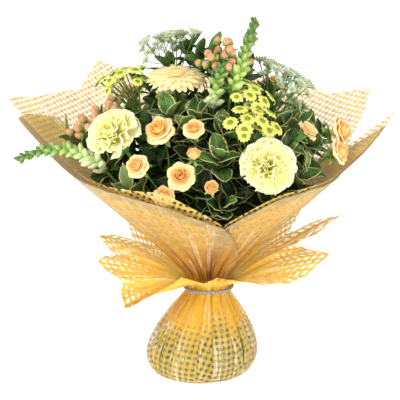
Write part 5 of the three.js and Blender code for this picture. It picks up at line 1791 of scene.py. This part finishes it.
class BOUQUET_OT_astrantias(bpy.types.Operator):
    """Make the sprays of greenish masterwort"""

    bl_idname = "bouquet.astrantias"
    bl_label = "Masterwort"

    def execute(self, context):
        i = np.arange(34)
        out = np.sqrt((i + 0.5) / 34)
        way = unit(opened(np.radians(i * GOLDEN), out, 1) * (1.3, 1.3, 1))
        line = way[:, None] * np.array([0.5, 5.2, 5.8, 6.6])[:, None] * (1 - 0.12 * out)[:, None, None]
        pins, bracts = tube(line, np.array([0.25, 0.22, 0.75, 0.3]), 5), star(10.5, 14, 3.9, 0.62)
        v = np.linspace(0, 1, 5)
        for name in of_kind(SPRAYS, "astrantia"):
            green, seats, ways, _ = branched(name, [10.5] * 11, 0.8, [(7, 12, 0.5), (14, 15, 0.5)])
            random, n = green.random, len(seats)
            scale = np.where(np.arange(n) < n / 3, 1.0, 0.62)[:, None, None]
            turn = facing(ways, random.uniform(0, 360, n)) * scale
            tones = np.tile(random.uniform(0, 1, 14), n)
            green.skin.add_sheet(lay(bracts, turn, seats), 0.4, "astrantia_head", tones, 0)
            tones = random.uniform(0, 1, 34 * n)
            green.skin.add(lay(pins, turn, seats), "astrantia_head", tone=(tones, 0.5, 0))
            green.skin.add_round(0.9 + 1.2 * v, 3.6 * v - 3.6, 7, turn, seats)
            green.build("astrantia_head", "dark_leaf", 44, 20)
        return {"FINISHED"}


# ---- snapdragons ----

SPIKES = {
    "snapdragon_left": ((-68, 40, 308), (-85, 54, 322), 11),
    "snapdragon_top": ((55, 10, 335), (125, 12, 378), 12),
    "snapdragon_middle": ((12, 9, 296), (22, 8, 326), 5),
}


def bud(length, radius):
    """A closed bud along Z: fuller above its middle, with a crease between its two lips and a blunt tip."""
    v, u = np.meshgrid(np.linspace(0, 1, 9), np.arange(12) / 12, indexing="ij")
    a = u * 2 * np.pi
    r = np.sin(np.pi * np.clip(v, 0.02, 0.98) ** 0.9) ** 0.7
    r = r * (1 - 0.16 * np.abs(np.cos(a)) ** 8 * smooth(v, 0.4, 0.9))
    x, y = radius * r * np.cos(a), radius * 0.86 * r * np.sin(a)
    return np.stack([x, y, length * (v - 0.5)], -1), np.stack([u, v], -1)


class BOUQUET_OT_snapdragons(bpy.types.Operator):
    """Make the spikes of green snapdragon buds"""

    bl_idname = "bouquet.snapdragons"
    bl_label = "Snapdragons"

    def execute(self, context):
        shape, flat = bud(2.0, 0.56)
        sepals = star(0.62, 5, 0.34, 0.9)
        sepals[..., 2] -= 0.98
        for name, (over, tip, count) in SPIKES.items():
            green = plain_green(name)
            route = [green.end, from_neck(over), from_neck(tip)]
            start = green.end - unit(route[1] - route[0]) * 3
            line = np.concatenate([start[None], bezier(route, 40)[2:]])
            green.skin.add(tube(line, np.linspace(1.9, 0.9, len(line)), 8), "green_stem")
            kept = []
            for i in range(count * 5):
                own = i < count
                share = min((i + 0.5 if own else (i - count) / 4 + 0.2) / count, 0.999)
                large = 11 + (6 - 11) * share
                axis = unit((1 - share) * (route[1] - route[0]) + share * (route[2] - route[1]))
                out = about(axis, unit(np.cross(axis, UP)), np.radians(i * GOLDEN))
                away = unit(axis * (0.5 + 0.5 * share) + out)
                seat = bernstein(route, share**0.9) + away * large * 0.95 * (1 if own else 0.6)
                if own and gap_to(seat + away * large, green.solid) > SAME_HEAD:
                    continue
                kept.append((away, seat, large if own else large * (0.8 + 0.3 * share), share))
            ways, seats, scales, shares = (np.array(k) for k in zip(*kept))
            random, n = green.random, len(seats)
            pale = np.clip(1 - 2.4 * shares, 0, 1) * (name != "snapdragon_top")
            turn = facing(ways, random.uniform(0, 360, n)) * (scales * (1 + 0.25 * pale))[:, None, None]
            tones = random.uniform(0, 1, n), shares, pale
            green.skin.add(put(shape, turn, seats), "green_bud", flat, tones)
            green.skin.add_sheet(lay(sepals, turn, seats), 0.4, "sepal", random.uniform(0, 1, n * 5))
            green.build("green_bud", "dark_leaf", 44, 14)
        return {"FINISHED"}


# ---- the stage ----


# Each lamp's name, place, width and power.
LAMPS = (
    ("key", (-1.2, -1.7, 1.9), 0.7, 27), ("fill", (1.7, -1.3, 1.1), 1.4, 8),
    ("top", (0.1, 0.4, 2.2), 1.6, 17), ("left_strip", (-1.3, -0.9, 0.5), 0.05, 12),
    ("right_strip", (1.2, -1.2, 0.5), 0.05, 12),
)
ROOM_LIGHT, FLOOR_HALF, FLOOR_LEVEL = 0.36, 15, -0.0005
LOOK_AT, CAMERA_AWAY, CAMERA_UP, LENS = np.array([0, 0, 0.25]), 2.2, np.radians(15), 141.5


class BOUQUET_OT_stage(bpy.types.Operator):
    """Make the pale floor, the soft lights and the camera"""

    bl_idname = "bouquet.stage"
    bl_label = "Stage"

    def execute(self, context):
        scene = context.scene
        scene.view_settings.view_transform = "Standard"
        mesh = bpy.data.meshes.new("floor")
        h, low = FLOOR_HALF, FLOOR_LEVEL
        mesh.from_pydata([(-h, -h, low), (h, -h, low), (h, h, low), (-h, h, low)], [], [(0, 1, 2, 3)])
        mesh.materials.append(finish_of("floor"))
        ground = bpy.data.objects.new("floor", mesh)
        scene.collection.objects.link(ground)
        scene.world = bpy.data.worlds.new("soft_room")
        scene.world.use_nodes = True
        room = scene.world.node_tree.nodes["Background"].inputs
        room[0].default_value, room[1].default_value = (1, 1, 1, 1), ROOM_LIGHT
        for name, spot, wide, power in LAMPS:
            light = bpy.data.lights.new(name, "AREA")
            light.shape, light.size, light.size_y, light.energy = "RECTANGLE", wide, max(wide, 1.1), power
            self.stand(scene, light, spot)
        camera = bpy.data.cameras.new("camera")
        camera.lens, camera.sensor_width, camera.clip_end = LENS, 36, 60
        away = np.array([0, -np.cos(CAMERA_UP), np.sin(CAMERA_UP)])
        scene.camera = self.stand(scene, camera, LOOK_AT + CAMERA_AWAY * away)
        return {"FINISHED"}

    def stand(self, scene, data, spot):
        """A lamp or camera at a spot, turned to look at the bouquet."""
        made = bpy.data.objects.new(data.name, data)
        made.location, made.rotation_mode = spot, "QUATERNION"
        made.rotation_quaternion = (Vector(LOOK_AT) - Vector(spot)).to_track_quat("-Z", "Y")
        scene.collection.objects.link(made)
        return made


class BOUQUET_PT_panel(bpy.types.Panel):
    """The bouquet's pieces, in the order they are made"""

    bl_idname = "BOUQUET_PT_panel"
    bl_label = "Mixed Flower Bouquet"
    bl_space_type = "VIEW_3D"
    bl_region_type = "UI"
    bl_category = "Bouquet"

    def draw(self, context):
        for made in OPERATORS:
            self.layout.operator(made.bl_idname)
        for group in (context.scene.bouquet_sizes, context.scene.bouquet_colours):
            box = self.layout.box()
            for key in group.__annotations__:
                box.prop(group, key)


OPERATORS = (
    BOUQUET_OT_stage, BOUQUET_OT_water_bag, BOUQUET_OT_water, BOUQUET_OT_wraps, BOUQUET_OT_cords,
    BOUQUET_OT_roses, BOUQUET_OT_carnations, BOUQUET_OT_gerbera, BOUQUET_OT_daisies, BOUQUET_OT_berries,
    BOUQUET_OT_astrantias, BOUQUET_OT_snapdragons, BOUQUET_OT_leaves, BOUQUET_OT_broad_leaves,
)
CLASSES = (BOUQUET_PG_sizes, BOUQUET_PG_colours, *OPERATORS, BOUQUET_PT_panel)


def register():
    for made in CLASSES:
        bpy.utils.register_class(made)
    bpy.types.Scene.bouquet_sizes = bpy.props.PointerProperty(type=BOUQUET_PG_sizes)
    bpy.types.Scene.bouquet_colours = bpy.props.PointerProperty(type=BOUQUET_PG_colours)


def unregister():
    del bpy.types.Scene.bouquet_sizes
    del bpy.types.Scene.bouquet_colours
    for made in reversed(CLASSES):
        bpy.utils.unregister_class(made)


def main():
    register()
    for made in OPERATORS:
        getattr(bpy.ops.bouquet, made.bl_idname.split(".")[1])()
    bpy.context.view_layer.update()


if __name__ == "__main__":
    main()
